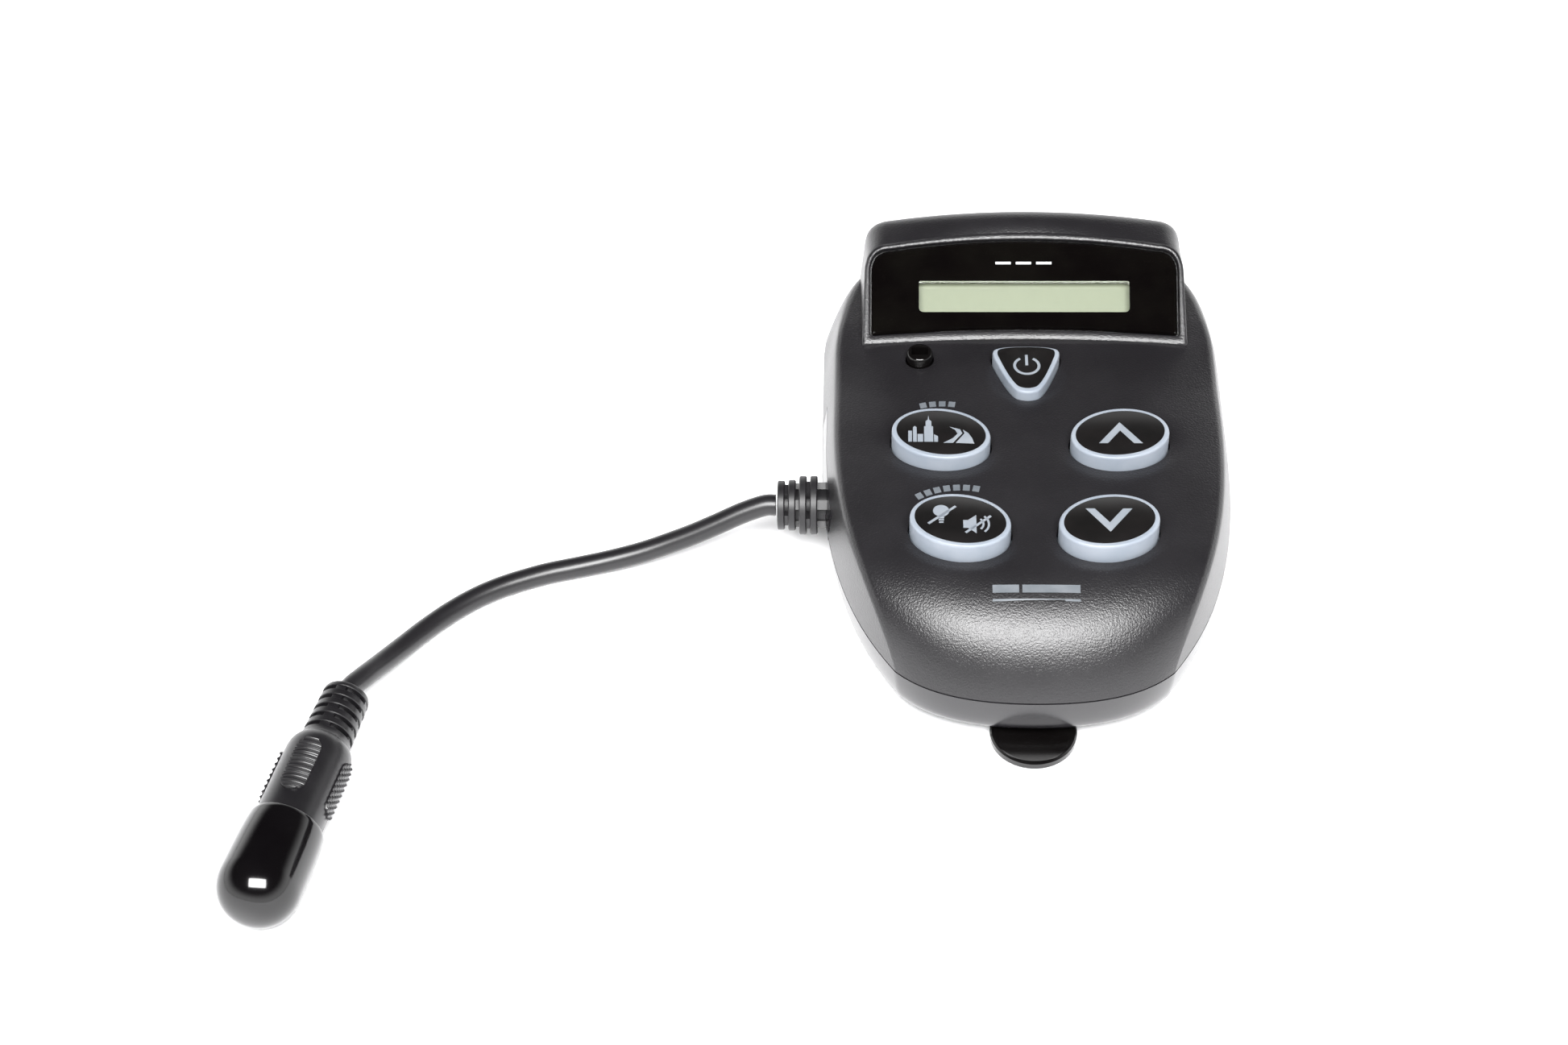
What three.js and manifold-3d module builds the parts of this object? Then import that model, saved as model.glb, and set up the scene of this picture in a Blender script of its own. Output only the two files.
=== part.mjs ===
// A small motorcycle dash unit: a two-part case with a hooded display, five keys, a thumb-release
// mount plate underneath, and a short cable that ends in a capped round plug.
// Millimetres. +X is right, +Y runs towards the hood, +Z is up, and z = 0 is the standing surface.
import * as THREE from 'three';
import { mergeVertices } from 'three/addons/utils/BufferGeometryUtils.js';
import Module from 'manifold-3d';

const wasm = await Module();
wasm.setup();

// ---------------------------------------------------------------- driving dimensions
const GAP = 0.3; // clearance between neighbouring pieces
const WALL = 2; // case wall

const HALF_WIDTH = 39.6; // case, at the parting line
const NEAR_Y = -52.1; // near end of the case, on the centre line
const FAR_Y = 56.55; // far end of the case
const CORNER = new THREE.Vector2(25.5, -44.3); // where the creases meet the parting line
const PARTING_Z = 13.2;
const FLOOR_Z = 4.3; // underside of the lower case

const END_RADIUS = 22.8; // how the top rolls down at the near end
const END_TILT = 1.257; // its slope where it meets the parting line, in radians
const CROWN_RADIUS = 430; // the long crown of the top
const CROWN_Z = 29.8;
const CROWN_AT = 47.3; // distance of the crown's highest point from the near end
const SIDE_DROP = 0.18; // share of its height that the top loses at the creases
const CREASE_X = 36;

const HOOD = { foot: 32.6, side: 31.4, sideZ: 34.5, cornerX: 26.5, cornerZ: 39.9, top: 42 };
const LENS = { y: 31.3, z: 30, tilt: 0.593, halfWidth: 30, height: 17.9, thick: 1.3, corner: 4 };
const WINDOW = { width: 41.4, height: 6.3, up: 6.6 }; // the clear part of the lens

const KEY = { a: 9.4, b: 6.8, travel: 0.7, flangeZ: 24.2, flange: 1.1, stemEnd: 19.6, stem: 1.6 };
const OVAL_KEYS = [
  { name: 'mode_key', x: -16.85, y: -0.7, top: 32.3, turn: -0.19 },
  { name: 'up_key', x: 16.85, y: -0.7, top: 32.3, turn: 0.19 },
  { name: 'backlight_key', x: -13.65, y: -23.8, top: 32.2, turn: -0.21 },
  { name: 'down_key', x: 13.65, y: -23.8, top: 32.2, turn: 0.21 },
];
const POWER = { y: 18.6, top: 31.3, halfWidth: 6.6, up: 6.3, down: 7 };
const SENSOR = { x: -20.6, y: 24, radius: 2.5, top: 30.6 };

const BOARD = { z: 13.9, thick: 1.6, inset: 4.5 };
const CASE_SCREWS = [[-26, -28], [26, -28], [-29.5, 34], [29.5, 34]];
const PLATE = { halfTop: 15, halfBottom: 17.5, near: -36, far: 24, top: 4 };
const MOUNT_SCREWS = [[-11, -30], [11, -30], [-11, 17], [11, 17]];

const TAB = { y: -48.5, radius: 8.05, low: 0.3, high: 2.1 };
const LATCH = { halfWidth: 4.6, hingeY: -24, hingeZ: 1.7, pin: 0.6, knuckle: 1.35 };

const EXIT = { y: -1, z: 13.2, hole: 3.6 }; // the cable's way out of the left side
const TONGUE = { from: -9.5, to: 20.5, top: 18.7 }; // the lower case rises round it
const GLAND_DISCS = [[40.35, 5.65], [42.45, 5.65], [44.55, 4.9], [46.65, 4.75]]; // x, radius
const GLAND_DISC_THICK = 1.4;
const GLAND_END = 48.05;

const CORD_RADIUS = 2.1;
const CORD_ROUTE = [ // centre line, from the gland to the plug
  [-48.4, -1, 13.2], [-50.65, -1.03, 13.1], [-54.9, -1.65, 11.7], [-59.85, -2.65, 9.6],
  [-64.6, -3.5, 7.6], [-69.4, -4.2, 5.8], [-74.1, -4.95, 4.3], [-78.9, -5.7, 3.2],
  [-83.5, -6.5, 2.5], [-88.15, -7.55, 2.2], [-92.8, -8.85, 2.15], [-97.3, -10.6, 2.15],
  [-101.75, -12.7, 2.15], [-106.2, -15.5, 2.15], [-110.55, -19.2, 2.2], [-114.7, -23.8, 2.5],
  [-118.5, -29.3, 3.4], [-121.85, -35, 4.9], [-124.5, -40.05, 6.6], [-126.3, -43.4, 7.5],
  [-126.77, -45.51, 7.65],
];
const PLUG = { x: -126.85, y: -45.87, z: 7.65, heading: 2.9225 };
const RELIEF = { end: 12.6, radius: 4.4, flare: 0.35, pitch: 2.27, groove: 0.9, core: 3.5 };
const BARREL = { end: 37.4, radius: 6.2 };
const CAP = { start: 32, straight: 45.6, end: 52.5, radius: 7.6, bore: 6.55, thick: 1.05 };
const PLUG_SHELL = { end: 44.4, outer: 4.7, inner: 4.3 };

// ---------------------------------------------------------------- solids, joined and cut
function toSolid(geometry) {
  const bare = geometry.clone();
  bare.deleteAttribute('normal');
  bare.deleteAttribute('uv');
  const merged = mergeVertices(bare, 1e-4);
  return new wasm.Manifold(new wasm.Mesh({
    numProp: 3,
    vertProperties: new Float32Array(merged.attributes.position.array),
    triVerts: new Uint32Array(merged.index.array),
  }));
}

function toGeometry(solid) {
  const mesh = solid.getMesh();
  const geometry = new THREE.BufferGeometry();
  geometry.setAttribute('position', new THREE.BufferAttribute(mesh.vertProperties, 3));
  geometry.setIndex(new THREE.BufferAttribute(mesh.triVerts, 1));
  geometry.computeVertexNormals();
  return geometry;
}

const join = (...geometries) => toGeometry(geometries.map(toSolid).reduce((a, b) => a.add(b)));
const cut = (base, ...tools) => toGeometry(tools.map(toSolid).reduce((a, b) => a.subtract(b), toSolid(base)));
const meet = (...geometries) => toGeometry(geometries.map(toSolid).reduce((a, b) => a.intersect(b)));

// ---------------------------------------------------------------- basic shapes
function box(x0, x1, y0, y1, z0, z1) {
  return new THREE.BoxGeometry(x1 - x0, y1 - y0, z1 - z0)
    .translate((x0 + x1) / 2, (y0 + y1) / 2, (z0 + z1) / 2);
}

function post(x, y, z0, z1, radius, sides = 16) {
  return new THREE.CylinderGeometry(radius, radius, z1 - z0, sides)
    .rotateX(Math.PI / 2).translate(x, y, (z0 + z1) / 2);
}

function slab(shape, z0, z1, curveSegments = 8) {
  return new THREE.ExtrudeGeometry(shape, { depth: z1 - z0, bevelEnabled: false, curveSegments })
    .translate(0, 0, z0);
}

// A solid turned about the local Y axis from a list of [radius, distance] points.
function turned(points, segments = 24) {
  return new THREE.LatheGeometry(points.map(([r, y]) => new THREE.Vector2(r, y)), segments);
}

function ellipse(a, b) {
  return new THREE.Shape().absellipse(0, 0, a, b, 0, 2 * Math.PI);
}

function roundedRectangle(halfX, halfY, radius) {
  const shape = new THREE.Shape();
  shape.moveTo(halfX, -halfY + radius);
  shape.absarc(halfX - radius, halfY - radius, radius, 0, Math.PI / 2);
  shape.absarc(-halfX + radius, halfY - radius, radius, Math.PI / 2, Math.PI);
  shape.absarc(-halfX + radius, -halfY + radius, radius, Math.PI, 1.5 * Math.PI);
  shape.absarc(halfX - radius, -halfY + radius, radius, 1.5 * Math.PI, 2 * Math.PI);
  return shape;
}

// ---------------------------------------------------------------- the case's plan and top
const v2 = (x, y) => new THREE.Vector2(x, y);
const FAR_CORNER = v2(33, 54.9);
const nearCurve = new THREE.CubicBezierCurve(v2(0, NEAR_Y), v2(14, NEAR_Y), v2(21, -48.7), CORNER);
const farCurve = new THREE.CubicBezierCurve(v2(0, FAR_Y), v2(12, FAR_Y), v2(24, 56), FAR_CORNER);
const sideCurve = new THREE.CurvePath();
sideCurve.add(new THREE.CubicBezierCurve(CORNER, v2(31.2, -35.9), v2(HALF_WIDTH, -21), v2(HALF_WIDTH, 11.5)));
sideCurve.add(new THREE.LineCurve(v2(HALF_WIDTH, 11.5), v2(HALF_WIDTH, 41)));
sideCurve.add(new THREE.CubicBezierCurve(v2(HALF_WIDTH, 41), v2(HALF_WIDTH, 49), v2(38, 53), FAR_CORNER));

// A point of the plan: across runs from -1 to 1, and along from 0 at the near end to 1 at the far.
function planPoint(across, along) {
  const a = Math.abs(across);
  const near = nearCurve.getPoint(a);
  const far = farCurve.getPoint(a);
  const side = sideCurve.getPointAt(along);
  const straight = CORNER.clone().lerp(FAR_CORNER, along);
  const point = near.clone().lerp(far, along).add(side.sub(straight).multiplyScalar(a));
  return { x: Math.sign(across) * point.x, y: point.y, fromEnd: point.y - near.y };
}

// Height of the top panel, from the distance to the near edge and the distance off centre.
function panelHeight(x, fromEnd) {
  const sine = Math.sin(END_TILT) - fromEnd / END_RADIUS;
  const roll = PARTING_Z + END_RADIUS * (Math.sqrt(1 - sine * sine) - Math.cos(END_TILT));
  const crown = CROWN_Z - (fromEnd - CROWN_AT) ** 2 / (2 * CROWN_RADIUS);
  const centre = sine > 0.07 ? Math.min(roll, crown) : crown;
  return PARTING_Z + (centre - PARTING_Z) * (1 - SIDE_DROP * (x / CREASE_X) ** 4);
}

// Where the crease runs, as a share of the way from the centre line to the parting line.
function creaseAt(along) {
  const shoulder = THREE.MathUtils.smoothstep(along, 0.72, 0.96);
  return 1 - 0.083 * (1 - Math.exp(-along / 0.15)) - 0.08 * shoulder;
}

const COLUMNS = 12; // the outer two on each side are the cheeks below the creases
const ROWS = 16;
const rowAt = (i) => (1 - Math.cos((Math.PI * i) / ROWS)) / 2; // closer together at both ends

// A block with the case's plan, whose top is the panel and its cheeks, drawn in by inset.
function upperBlock(inset, lowZ) {
  const geometry = new THREE.BoxGeometry(2, 2, 2, COLUMNS, ROWS, 1);
  const position = geometry.attributes.position;
  const scaleX = 1 - inset / HALF_WIDTH;
  const scaleY = 1 - inset / FAR_Y;
  for (let i = 0; i < position.count; i += 1) {
    const column = Math.round((position.getX(i) * COLUMNS) / 2);
    const along = rowAt(((position.getY(i) + 1) * ROWS) / 2);
    const crease = creaseAt(along);
    const step = Math.abs(column);
    const across = step <= 4 ? (crease * step) / 4 : THREE.MathUtils.lerp(crease, 1, (step - 4) / 2);
    const point = planPoint(Math.sign(column) * across, along);
    const creasePoint = planPoint(crease, along);
    const creaseZ = panelHeight(creasePoint.x, creasePoint.fromEnd);
    const cheek = [creaseZ, THREE.MathUtils.lerp(creaseZ, PARTING_Z, 0.42), PARTING_Z];
    const topZ = step <= 4 ? panelHeight(point.x, point.fromEnd) : cheek[step - 4];
    const innerZ = PARTING_Z + (topZ - PARTING_Z) * (1 - inset / (CROWN_Z - PARTING_Z));
    const z = position.getZ(i) > 0 ? innerZ : lowZ;
    position.setXYZ(i, point.x * scaleX, point.y * scaleY, z);
  }
  return geometry;
}

// The plan outline as a closed shape, drawn in by inset.
function planShape(inset) {
  const right = [];
  for (let i = 0; i <= 5; i += 1) right.push(planPoint(i / 5, 0));
  for (let i = 1; i <= ROWS; i += 1) right.push(planPoint(1, rowAt(i)));
  for (let i = 4; i >= 1; i -= 1) right.push(planPoint(i / 5, 1));
  const left = right.slice(1).reverse().map(({ x, y }) => ({ x: -x, y }));
  const top = { x: 0, y: FAR_Y };
  const scaleX = 1 - inset / HALF_WIDTH;
  const scaleY = 1 - inset / FAR_Y;
  return new THREE.Shape([...right, top, ...left].map(({ x, y }) => v2(x * scaleX, y * scaleY)));
}

// ---------------------------------------------------------------- the hood and its display
// Pieces of the display are made lying flat, with their face at z = 0, and tilted into place.
function onHood(geometry) {
  return geometry.rotateX(LENS.tilt).translate(0, LENS.y, LENS.z);
}

// The hood seen from the front, and seen from the side.
function hoodBlock(inset) {
  const w = inset;
  const front = new THREE.Shape();
  front.moveTo(HOOD.foot - w, 20);
  front.lineTo(HOOD.side - w, HOOD.sideZ - w);
  front.quadraticCurveTo(HOOD.side - 0.6 - w, HOOD.cornerZ - 0.6 - w, HOOD.cornerX - w, HOOD.cornerZ - w);
  front.quadraticCurveTo(0, HOOD.top + 2.1 - w, -HOOD.cornerX + w, HOOD.cornerZ - w);
  front.quadraticCurveTo(-HOOD.side + 0.6 + w, HOOD.cornerZ - 0.6 - w, -HOOD.side + w, HOOD.sideZ - w);
  front.lineTo(-HOOD.foot + w, 20);
  const across = new THREE.ExtrudeGeometry(front, { depth: 60, bevelEnabled: false, curveSegments: 6 })
    .rotateX(Math.PI / 2).translate(0, 70, 0);

  const face = w === 0 ? 0.4 : -2.8; // height of the sloping front over the lens's face
  const alongSlope = (v) => v2(
    LENS.y + v * Math.cos(LENS.tilt) - face * Math.sin(LENS.tilt),
    LENS.z + v * Math.sin(LENS.tilt) + face * Math.cos(LENS.tilt),
  );
  const foot = alongSlope(-2.6 + w * 0.2);
  const crest = alongSlope(LENS.height + 0.7 - w * 0.4);
  const side = new THREE.Shape();
  side.moveTo(foot.x, 20);
  side.lineTo(foot.x, foot.y);
  side.lineTo(crest.x, crest.y);
  side.quadraticCurveTo(crest.x + 1.6, HOOD.top - w, 51 - w * 0.3, HOOD.top - w);
  side.quadraticCurveTo(FAR_Y - w - 0.6, HOOD.top - w - 0.2, FAR_Y - w, 36);
  side.lineTo(FAR_Y - w, 20);
  const along = new THREE.ExtrudeGeometry(side, { depth: 90, bevelEnabled: false, curveSegments: 5 })
    .rotateX(Math.PI / 2).rotateZ(Math.PI / 2).translate(-45, 0, 0);
  return meet(across, along, slab(planShape(w), 19, 45));
}

function lensShape(grow) {
  const w = LENS.halfWidth + grow;
  const side = LENS.height - 2.3 - LENS.corner;
  const shape = new THREE.Shape();
  shape.moveTo(w, -1.1 - grow);
  shape.lineTo(w, side);
  shape.quadraticCurveTo(w, side + LENS.corner + grow, w - LENS.corner, LENS.height - 2 + grow);
  shape.quadraticCurveTo(0, LENS.height + 2 + grow, -w + LENS.corner, LENS.height - 2 + grow);
  shape.quadraticCurveTo(-w, side + LENS.corner + grow, -w, side);
  shape.lineTo(-w, -1.1 - grow);
  shape.quadraticCurveTo(0, 1.1 - grow, w, -1.1 - grow);
  return shape;
}

// ---------------------------------------------------------------- keys
function powerShape(grow) {
  const w = POWER.halfWidth + grow;
  const up = POWER.up + grow;
  const down = POWER.down + grow;
  const shape = new THREE.Shape();
  shape.moveTo(0, up);
  shape.quadraticCurveTo(w * 0.75, up, w * 0.93, up - 0.9);
  shape.quadraticCurveTo(w * 1.04, up - 1.6, w * 0.93, up - 3.6);
  shape.quadraticCurveTo(w * 0.55, -down * 0.72, w * 0.3, -down * 0.92);
  shape.quadraticCurveTo(0, -down * 1.08, -w * 0.3, -down * 0.92);
  shape.quadraticCurveTo(-w * 0.55, -down * 0.72, -w * 0.93, up - 3.6);
  shape.quadraticCurveTo(-w * 1.04, up - 1.6, -w * 0.93, up - 0.9);
  shape.quadraticCurveTo(-w * 0.75, up, 0, up);
  return shape;
}

// A key stands on its plunger: cap, flange under the case wall, and stem over its switch.
function keyGeometry(capShape, flangeShape, top) {
  return join(
    slab(capShape, KEY.flangeZ + 0.4, top, 5),
    slab(flangeShape, KEY.flangeZ, KEY.flangeZ + 0.8, 5),
    post(0, 0, KEY.stemEnd, KEY.flangeZ + 0.2, KEY.stem, 10),
  );
}

// ---------------------------------------------------------------- materials
function finish(color, roughness, metalness = 0) {
  return new THREE.MeshStandardMaterial({ color, roughness, metalness });
}
const texturedBlack = finish(0x2a282a, 0.45);
const smoothBlack = finish(0x343033, 0.35);
const glossBlack = finish(0x070606, 0.08);
const keyGrey = finish(0xb9c1c8, 0.4);
const lcdGreen = finish(0xaab396, 0.3);
const siliconeGrey = finish(0x8a8d90, 0.6);
const boardGreen = finish(0x1d5a35, 0.5);
const switchBlack = finish(0x18181a, 0.5);
const rubberBlack = finish(0x17171a, 0.65);
const cordBlack = finish(0x1b1b1f, 0.42);
const plugBlack = finish(0x141416, 0.4);
const steel = finish(0xb4b6b8, 0.3, 1);
const castAlloy = finish(0x9b9da0, 0.5, 1);
const gold = finish(0xc9a24a, 0.3, 1);
const redTint = finish(0x2a0507, 0.1);
const nylonWhite = finish(0xe4e1d8, 0.5);

const unit = new THREE.Group();

function add(name, geometry, material, parent = unit) {
  const mesh = new THREE.Mesh(geometry, material);
  mesh.name = name;
  parent.add(mesh);
  return mesh;
}

// ---------------------------------------------------------------- case
const outer = upperBlock(0, PARTING_Z - 3);
const inner = upperBlock(WALL, PARTING_Z - 4);
const below = box(-60, 60, -70, 70, 0, PARTING_Z + GAP / 2);
const tongueBox = (grow) => box(
  -50, -33, TONGUE.from - grow, TONGUE.to + grow, PARTING_Z - 1, TONGUE.top + grow,
);

function buildFrontShell() {
  const holes = OVAL_KEYS.map((key) => slab(ellipse(KEY.a + 0.35, KEY.b + 0.35), 22, 40, 9)
    .rotateZ(key.turn).translate(key.x, key.y, 0));
  holes.push(slab(powerShape(0.35), 22, 40).translate(0, POWER.y, 0));
  holes.push(post(SENSOR.x, SENSOR.y, 20, 40, SENSOR.radius + GAP, 14));
  const bosses = CASE_SCREWS.map(([x, y]) => post(x, y, PARTING_Z + 0.4, y < 0 ? 26.2 : 24.6, 2.75, 10));
  const bores = CASE_SCREWS.map(([x, y]) => post(x, y, 5, 20.4, 1.6, 8));
  const lensPocket = onHood(slab(lensShape(GAP), -LENS.thick - GAP, 6, 5));
  const ledgeWindow = onHood(slab(roundedRectangle(22.5, 4.4, 1), -6, 2, 2).translate(0, WINDOW.up, 0));
  const laserOpening = box(-15, 15, 52, 60, 16.6, 23.6);
  const hollow = join(inner, hoodBlock(WALL));
  const skin = cut(join(outer, hoodBlock(0)), hollow, below);
  return cut(join(skin, ...bosses), ...bores, ...holes, lensPocket, ledgeWindow, laserOpening, tongueBox(GAP));
}

// The lower case: draft in its walls, and an edge that turns under at the floor.
function lowerBlock(levels) {
  const geometry = new THREE.BoxGeometry(2, 2, 2, COLUMNS, ROWS, levels.length - 1);
  const position = geometry.attributes.position;
  for (let i = 0; i < position.count; i += 1) {
    const level = levels[Math.round(((position.getZ(i) + 1) / 2) * (levels.length - 1))];
    const point = planPoint(position.getX(i), rowAt(((position.getY(i) + 1) * ROWS) / 2));
    const scaleX = 1 - level.inset / HALF_WIDTH;
    const scaleY = 1 - level.inset / FAR_Y;
    position.setXYZ(i, point.x * scaleX, point.y * scaleY, level.z);
  }
  return geometry;
}

function buildRearShell() {
  const block = lowerBlock([
    { z: FLOOR_Z, inset: 2.6 }, { z: FLOOR_Z + 1, inset: 1.4 },
    { z: FLOOR_Z + 4, inset: 0.6 }, { z: PARTING_Z - GAP / 2, inset: 0 },
  ]);
  const hollow = lowerBlock([{ z: FLOOR_Z + WALL, inset: 3.2 }, { z: PARTING_Z + 5, inset: WALL }]);
  const tongue = meet(cut(outer, inner), tongueBox(0));
  const bosses = CASE_SCREWS.map(([x, y]) => post(x, y, 5, PARTING_Z + 0.1, 3.2, 10));
  const anchors = MOUNT_SCREWS.map(([x, y]) => post(x, y, 5, 10.5, 2.8, 10));
  const bores = CASE_SCREWS.flatMap(([x, y]) => [post(x, y, 3, 15, 1.6, 8), post(x, y, 3, 6.7, 3, 12)]);
  const pilots = MOUNT_SCREWS.map(([x, y]) => post(x, y, 3, 9.6, 1.6, 8));
  const exit = new THREE.CylinderGeometry(EXIT.hole, EXIT.hole, 20, 14)
    .rotateZ(Math.PI / 2).translate(-38, EXIT.y, EXIT.z);
  return cut(join(cut(block, hollow), tongue, ...bosses, ...anchors), ...bores, ...pilots, exit);
}

function buildGasket() {
  const ring = planShape(3);
  ring.holes.push(planShape(3.8));
  return cut(slab(ring, PARTING_Z - 1.6, PARTING_Z + 0.4), box(-45, -30, EXIT.y - 5.2, EXIT.y + 5.2, 5, 20));
}

add('front_shell', buildFrontShell(), texturedBlack);
add('rear_shell', buildRearShell(), smoothBlack);
add('shell_gasket', buildGasket(), siliconeGrey);
CASE_SCREWS.forEach(([x, y], i) => {
  const screw = join(post(0, 0, 0, 1.8, 2.7, 12), post(0, 0, 1.2, 15.2, 1.3, 8));
  add(`case_screw_${i + 1}`, screw, steel).position.set(x, y, FLOOR_Z + 0.3);
});

// ---------------------------------------------------------------- display
add('display_lens', onHood(slab(lensShape(0), -LENS.thick, 0, 5)), glossBlack);
add('lcd_glass', onHood(slab(roundedRectangle(25, 5.6, 0.5), -4.1, -3.1, 1).translate(0, WINDOW.up, 0)), lcdGreen);
add('lcd_carrier', onHood(slab(roundedRectangle(26.4, 6.4, 1), -6.9, -4.4, 2).translate(0, WINDOW.up, 0)), nylonWhite);

// ---------------------------------------------------------------- keys and what they press
for (const key of OVAL_KEYS) {
  const cap = ellipse(KEY.a, KEY.b);
  const flange = ellipse(KEY.a + KEY.flange, KEY.b + KEY.flange);
  const mesh = add(key.name, keyGeometry(cap, flange, key.top), keyGrey);
  mesh.position.set(key.x, key.y, 0);
  mesh.rotation.z = key.turn;
}
add('power_key', keyGeometry(powerShape(0), powerShape(0.9), POWER.top), keyGrey).position.y = POWER.y;

const switchSpots = [...OVAL_KEYS, { name: 'power_key', x: 0, y: POWER.y }];
for (const { name, x, y } of switchSpots) {
  const foot = BOARD.z + BOARD.thick + GAP;
  const tact = join(box(-3, 3, -3, 3, foot, foot + 2), post(0, 0, foot + 1.8, foot + 2.6, 1.7, 10));
  add(name.replace('key', 'switch'), tact, switchBlack).position.set(x, y, 0);
}

function buildKeypadMat() {
  const foot = BOARD.z + BOARD.thick + GAP;
  const sheet = slab(roundedRectangle(22.9, 30.5, 4), 21, 21.8, 3).translate(0, -3.5, 0);
  const corners = [[-20, -30], [20, -30], [-20, 23], [20, 23]];
  const legs = corners.map(([x, y]) => post(x, y, foot, 21.4, 1.8, 8));
  const holes = switchSpots.map(({ x, y }) => post(x, y, 15, 25, 2.4, 10));
  return cut(join(sheet, ...legs), ...holes);
}
add('keypad_mat', buildKeypadMat(), siliconeGrey);

// ---------------------------------------------------------------- light sensor
function buildSensorBoot() {
  const stem = join(
    post(0, 0, 22, SENSOR.top, SENSOR.radius, 14),
    post(0, 0, 22, 23.6, SENSOR.radius + 1, 14),
  );
  return cut(stem, box(-1.75, 1.75, -1.15, 1.15, 26.6, 40));
}
add('sensor_boot', buildSensorBoot(), glossBlack).position.set(SENSOR.x, SENSOR.y, 0);
add('light_sensor', box(-1.4, 1.4, -0.8, 0.8, 26.9, 28.2), redTint).position.set(SENSOR.x, SENSOR.y, 0);

// ---------------------------------------------------------------- electronics
const HORN = { near: 25, far: 51.8, halfWidth: 13, low: 7.2, high: 21.4 };

function buildBoard() {
  const cutouts = CASE_SCREWS.map(([x, y]) => post(x, y, 10, 20, 4, 10));
  const hornBay = box(-HORN.halfWidth - 1, HORN.halfWidth + 1, HORN.near - 1, 60, 10, 20);
  const glandBay = box(-45, -33.8, EXIT.y - 5.2, EXIT.y + 5.2, 10, 20);
  return cut(slab(planShape(BOARD.inset), BOARD.z, BOARD.z + BOARD.thick), ...cutouts, hornBay, glandBay);
}

// A waveguide horn: a square cone, open at its far mouth.
function buildHorn() {
  const length = HORN.far - HORN.near;
  const middle = (HORN.low + HORN.high) / 2;
  const flatten = (HORN.high - HORN.low) / (2 * HORN.halfWidth);
  const cone = (mouth, throat, from) => new THREE.CylinderGeometry(mouth, throat, length, 4)
    .rotateY(Math.PI / 4).scale(1, 1, flatten).translate(0, (HORN.near + HORN.far) / 2 + from, middle);
  const corner = HORN.halfWidth * Math.SQRT2;
  return cut(cone(corner, corner * 0.55, 0), cone(corner * 0.86, corner * 0.38, 2));
}

add('main_board', buildBoard(), boardGreen);
add('antenna_horn', buildHorn(), castAlloy);
add('laser_detector', box(-4, 4, 48.6, 53.6, 22, 27), switchBlack);
add('laser_window', box(-14.7, 14.7, 53.9, 55.7, 16.9, 23.3), redTint);
add('buzzer', post(-20, -9, 7.6, BOARD.z - GAP, 6, 20), switchBlack);
add('lead_connector', box(-32.5, -27.5, -6, 4, BOARD.z + BOARD.thick + GAP, 20), nylonWhite);

// ---------------------------------------------------------------- mount plate and its latch
function buildMountPlate() {
  const section = new THREE.Shape([
    v2(-PLATE.halfBottom, 0), v2(PLATE.halfBottom, 0), v2(PLATE.halfBottom, 1.2),
    v2(PLATE.halfTop, PLATE.top), v2(-PLATE.halfTop, PLATE.top), v2(-PLATE.halfBottom, 1.2),
  ]);
  const bar = new THREE.ExtrudeGeometry(section, { depth: PLATE.far - PLATE.near, bevelEnabled: false })
    .rotateX(Math.PI / 2).translate(0, PLATE.far, 0);
  const slot = box(-5, 5, PLATE.near - 5, LATCH.hingeY + 2.4, -1, 3.3);
  const pinHole = new THREE.CylinderGeometry(LATCH.pin + GAP, LATCH.pin + GAP, 17, 10)
    .rotateZ(Math.PI / 2).translate(0, LATCH.hingeY, LATCH.hingeZ);
  const bores = MOUNT_SCREWS.flatMap(([x, y]) => [post(x, y, -1, 5, 1.6, 8), post(x, y, -1, 2.2, 3, 12)]);
  return cut(bar, slot, pinHole, ...bores);
}

function buildLatch() {
  const tongueFar = LATCH.hingeY - 1;
  const knuckle = new THREE.CylinderGeometry(LATCH.knuckle, LATCH.knuckle, 5.6, 12)
    .rotateZ(Math.PI / 2).translate(-LATCH.halfWidth + 2.8, LATCH.hingeY, LATCH.hingeZ);
  const bore = new THREE.CylinderGeometry(LATCH.pin + 0.15, LATCH.pin + 0.15, 20, 10)
    .rotateZ(Math.PI / 2).translate(0, LATCH.hingeY, LATCH.hingeZ);
  const blade = box(-LATCH.halfWidth, LATCH.halfWidth, TAB.y, tongueFar - 1, TAB.low, TAB.high);
  const neck = box(-LATCH.halfWidth, -LATCH.halfWidth + 5.6, tongueFar - 2, LATCH.hingeY, 0.5, TAB.high);
  return cut(join(post(0, TAB.y, TAB.low, TAB.high, TAB.radius, 32), blade, neck, knuckle), bore);
}

add('mount_plate', buildMountPlate(), smoothBlack);
MOUNT_SCREWS.forEach(([x, y], i) => {
  const screw = join(post(0, 0, 0, 1.6, 2.7, 12), post(0, 0, 1.2, 8.8, 1.3, 8));
  add(`mount_screw_${i + 1}`, screw, steel).position.set(x, y, 0.4);
});
add('release_latch', buildLatch(), glossBlack);
add('latch_pin', new THREE.CylinderGeometry(LATCH.pin, LATCH.pin, 16, 10)
  .rotateZ(Math.PI / 2).translate(0, LATCH.hingeY, LATCH.hingeZ), steel);

// A torsion spring's coil, on the pin beside the knuckle.
class Coil extends THREE.Curve {
  getPoint(t) {
    const turn = t * 4 * Math.PI;
    return new THREE.Vector3(1.5 + 2.4 * t, 1.05 * Math.cos(turn), 1.05 * Math.sin(turn));
  }
}
const springWire = new THREE.Shape([v2(-0.15, -0.15), v2(0.15, -0.15), v2(0.15, 0.15), v2(-0.15, 0.15)]);
add('latch_spring', new THREE.ExtrudeGeometry(springWire, { steps: 24, extrudePath: new Coil() }), steel)
  .position.set(0, LATCH.hingeY, LATCH.hingeZ);

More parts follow.
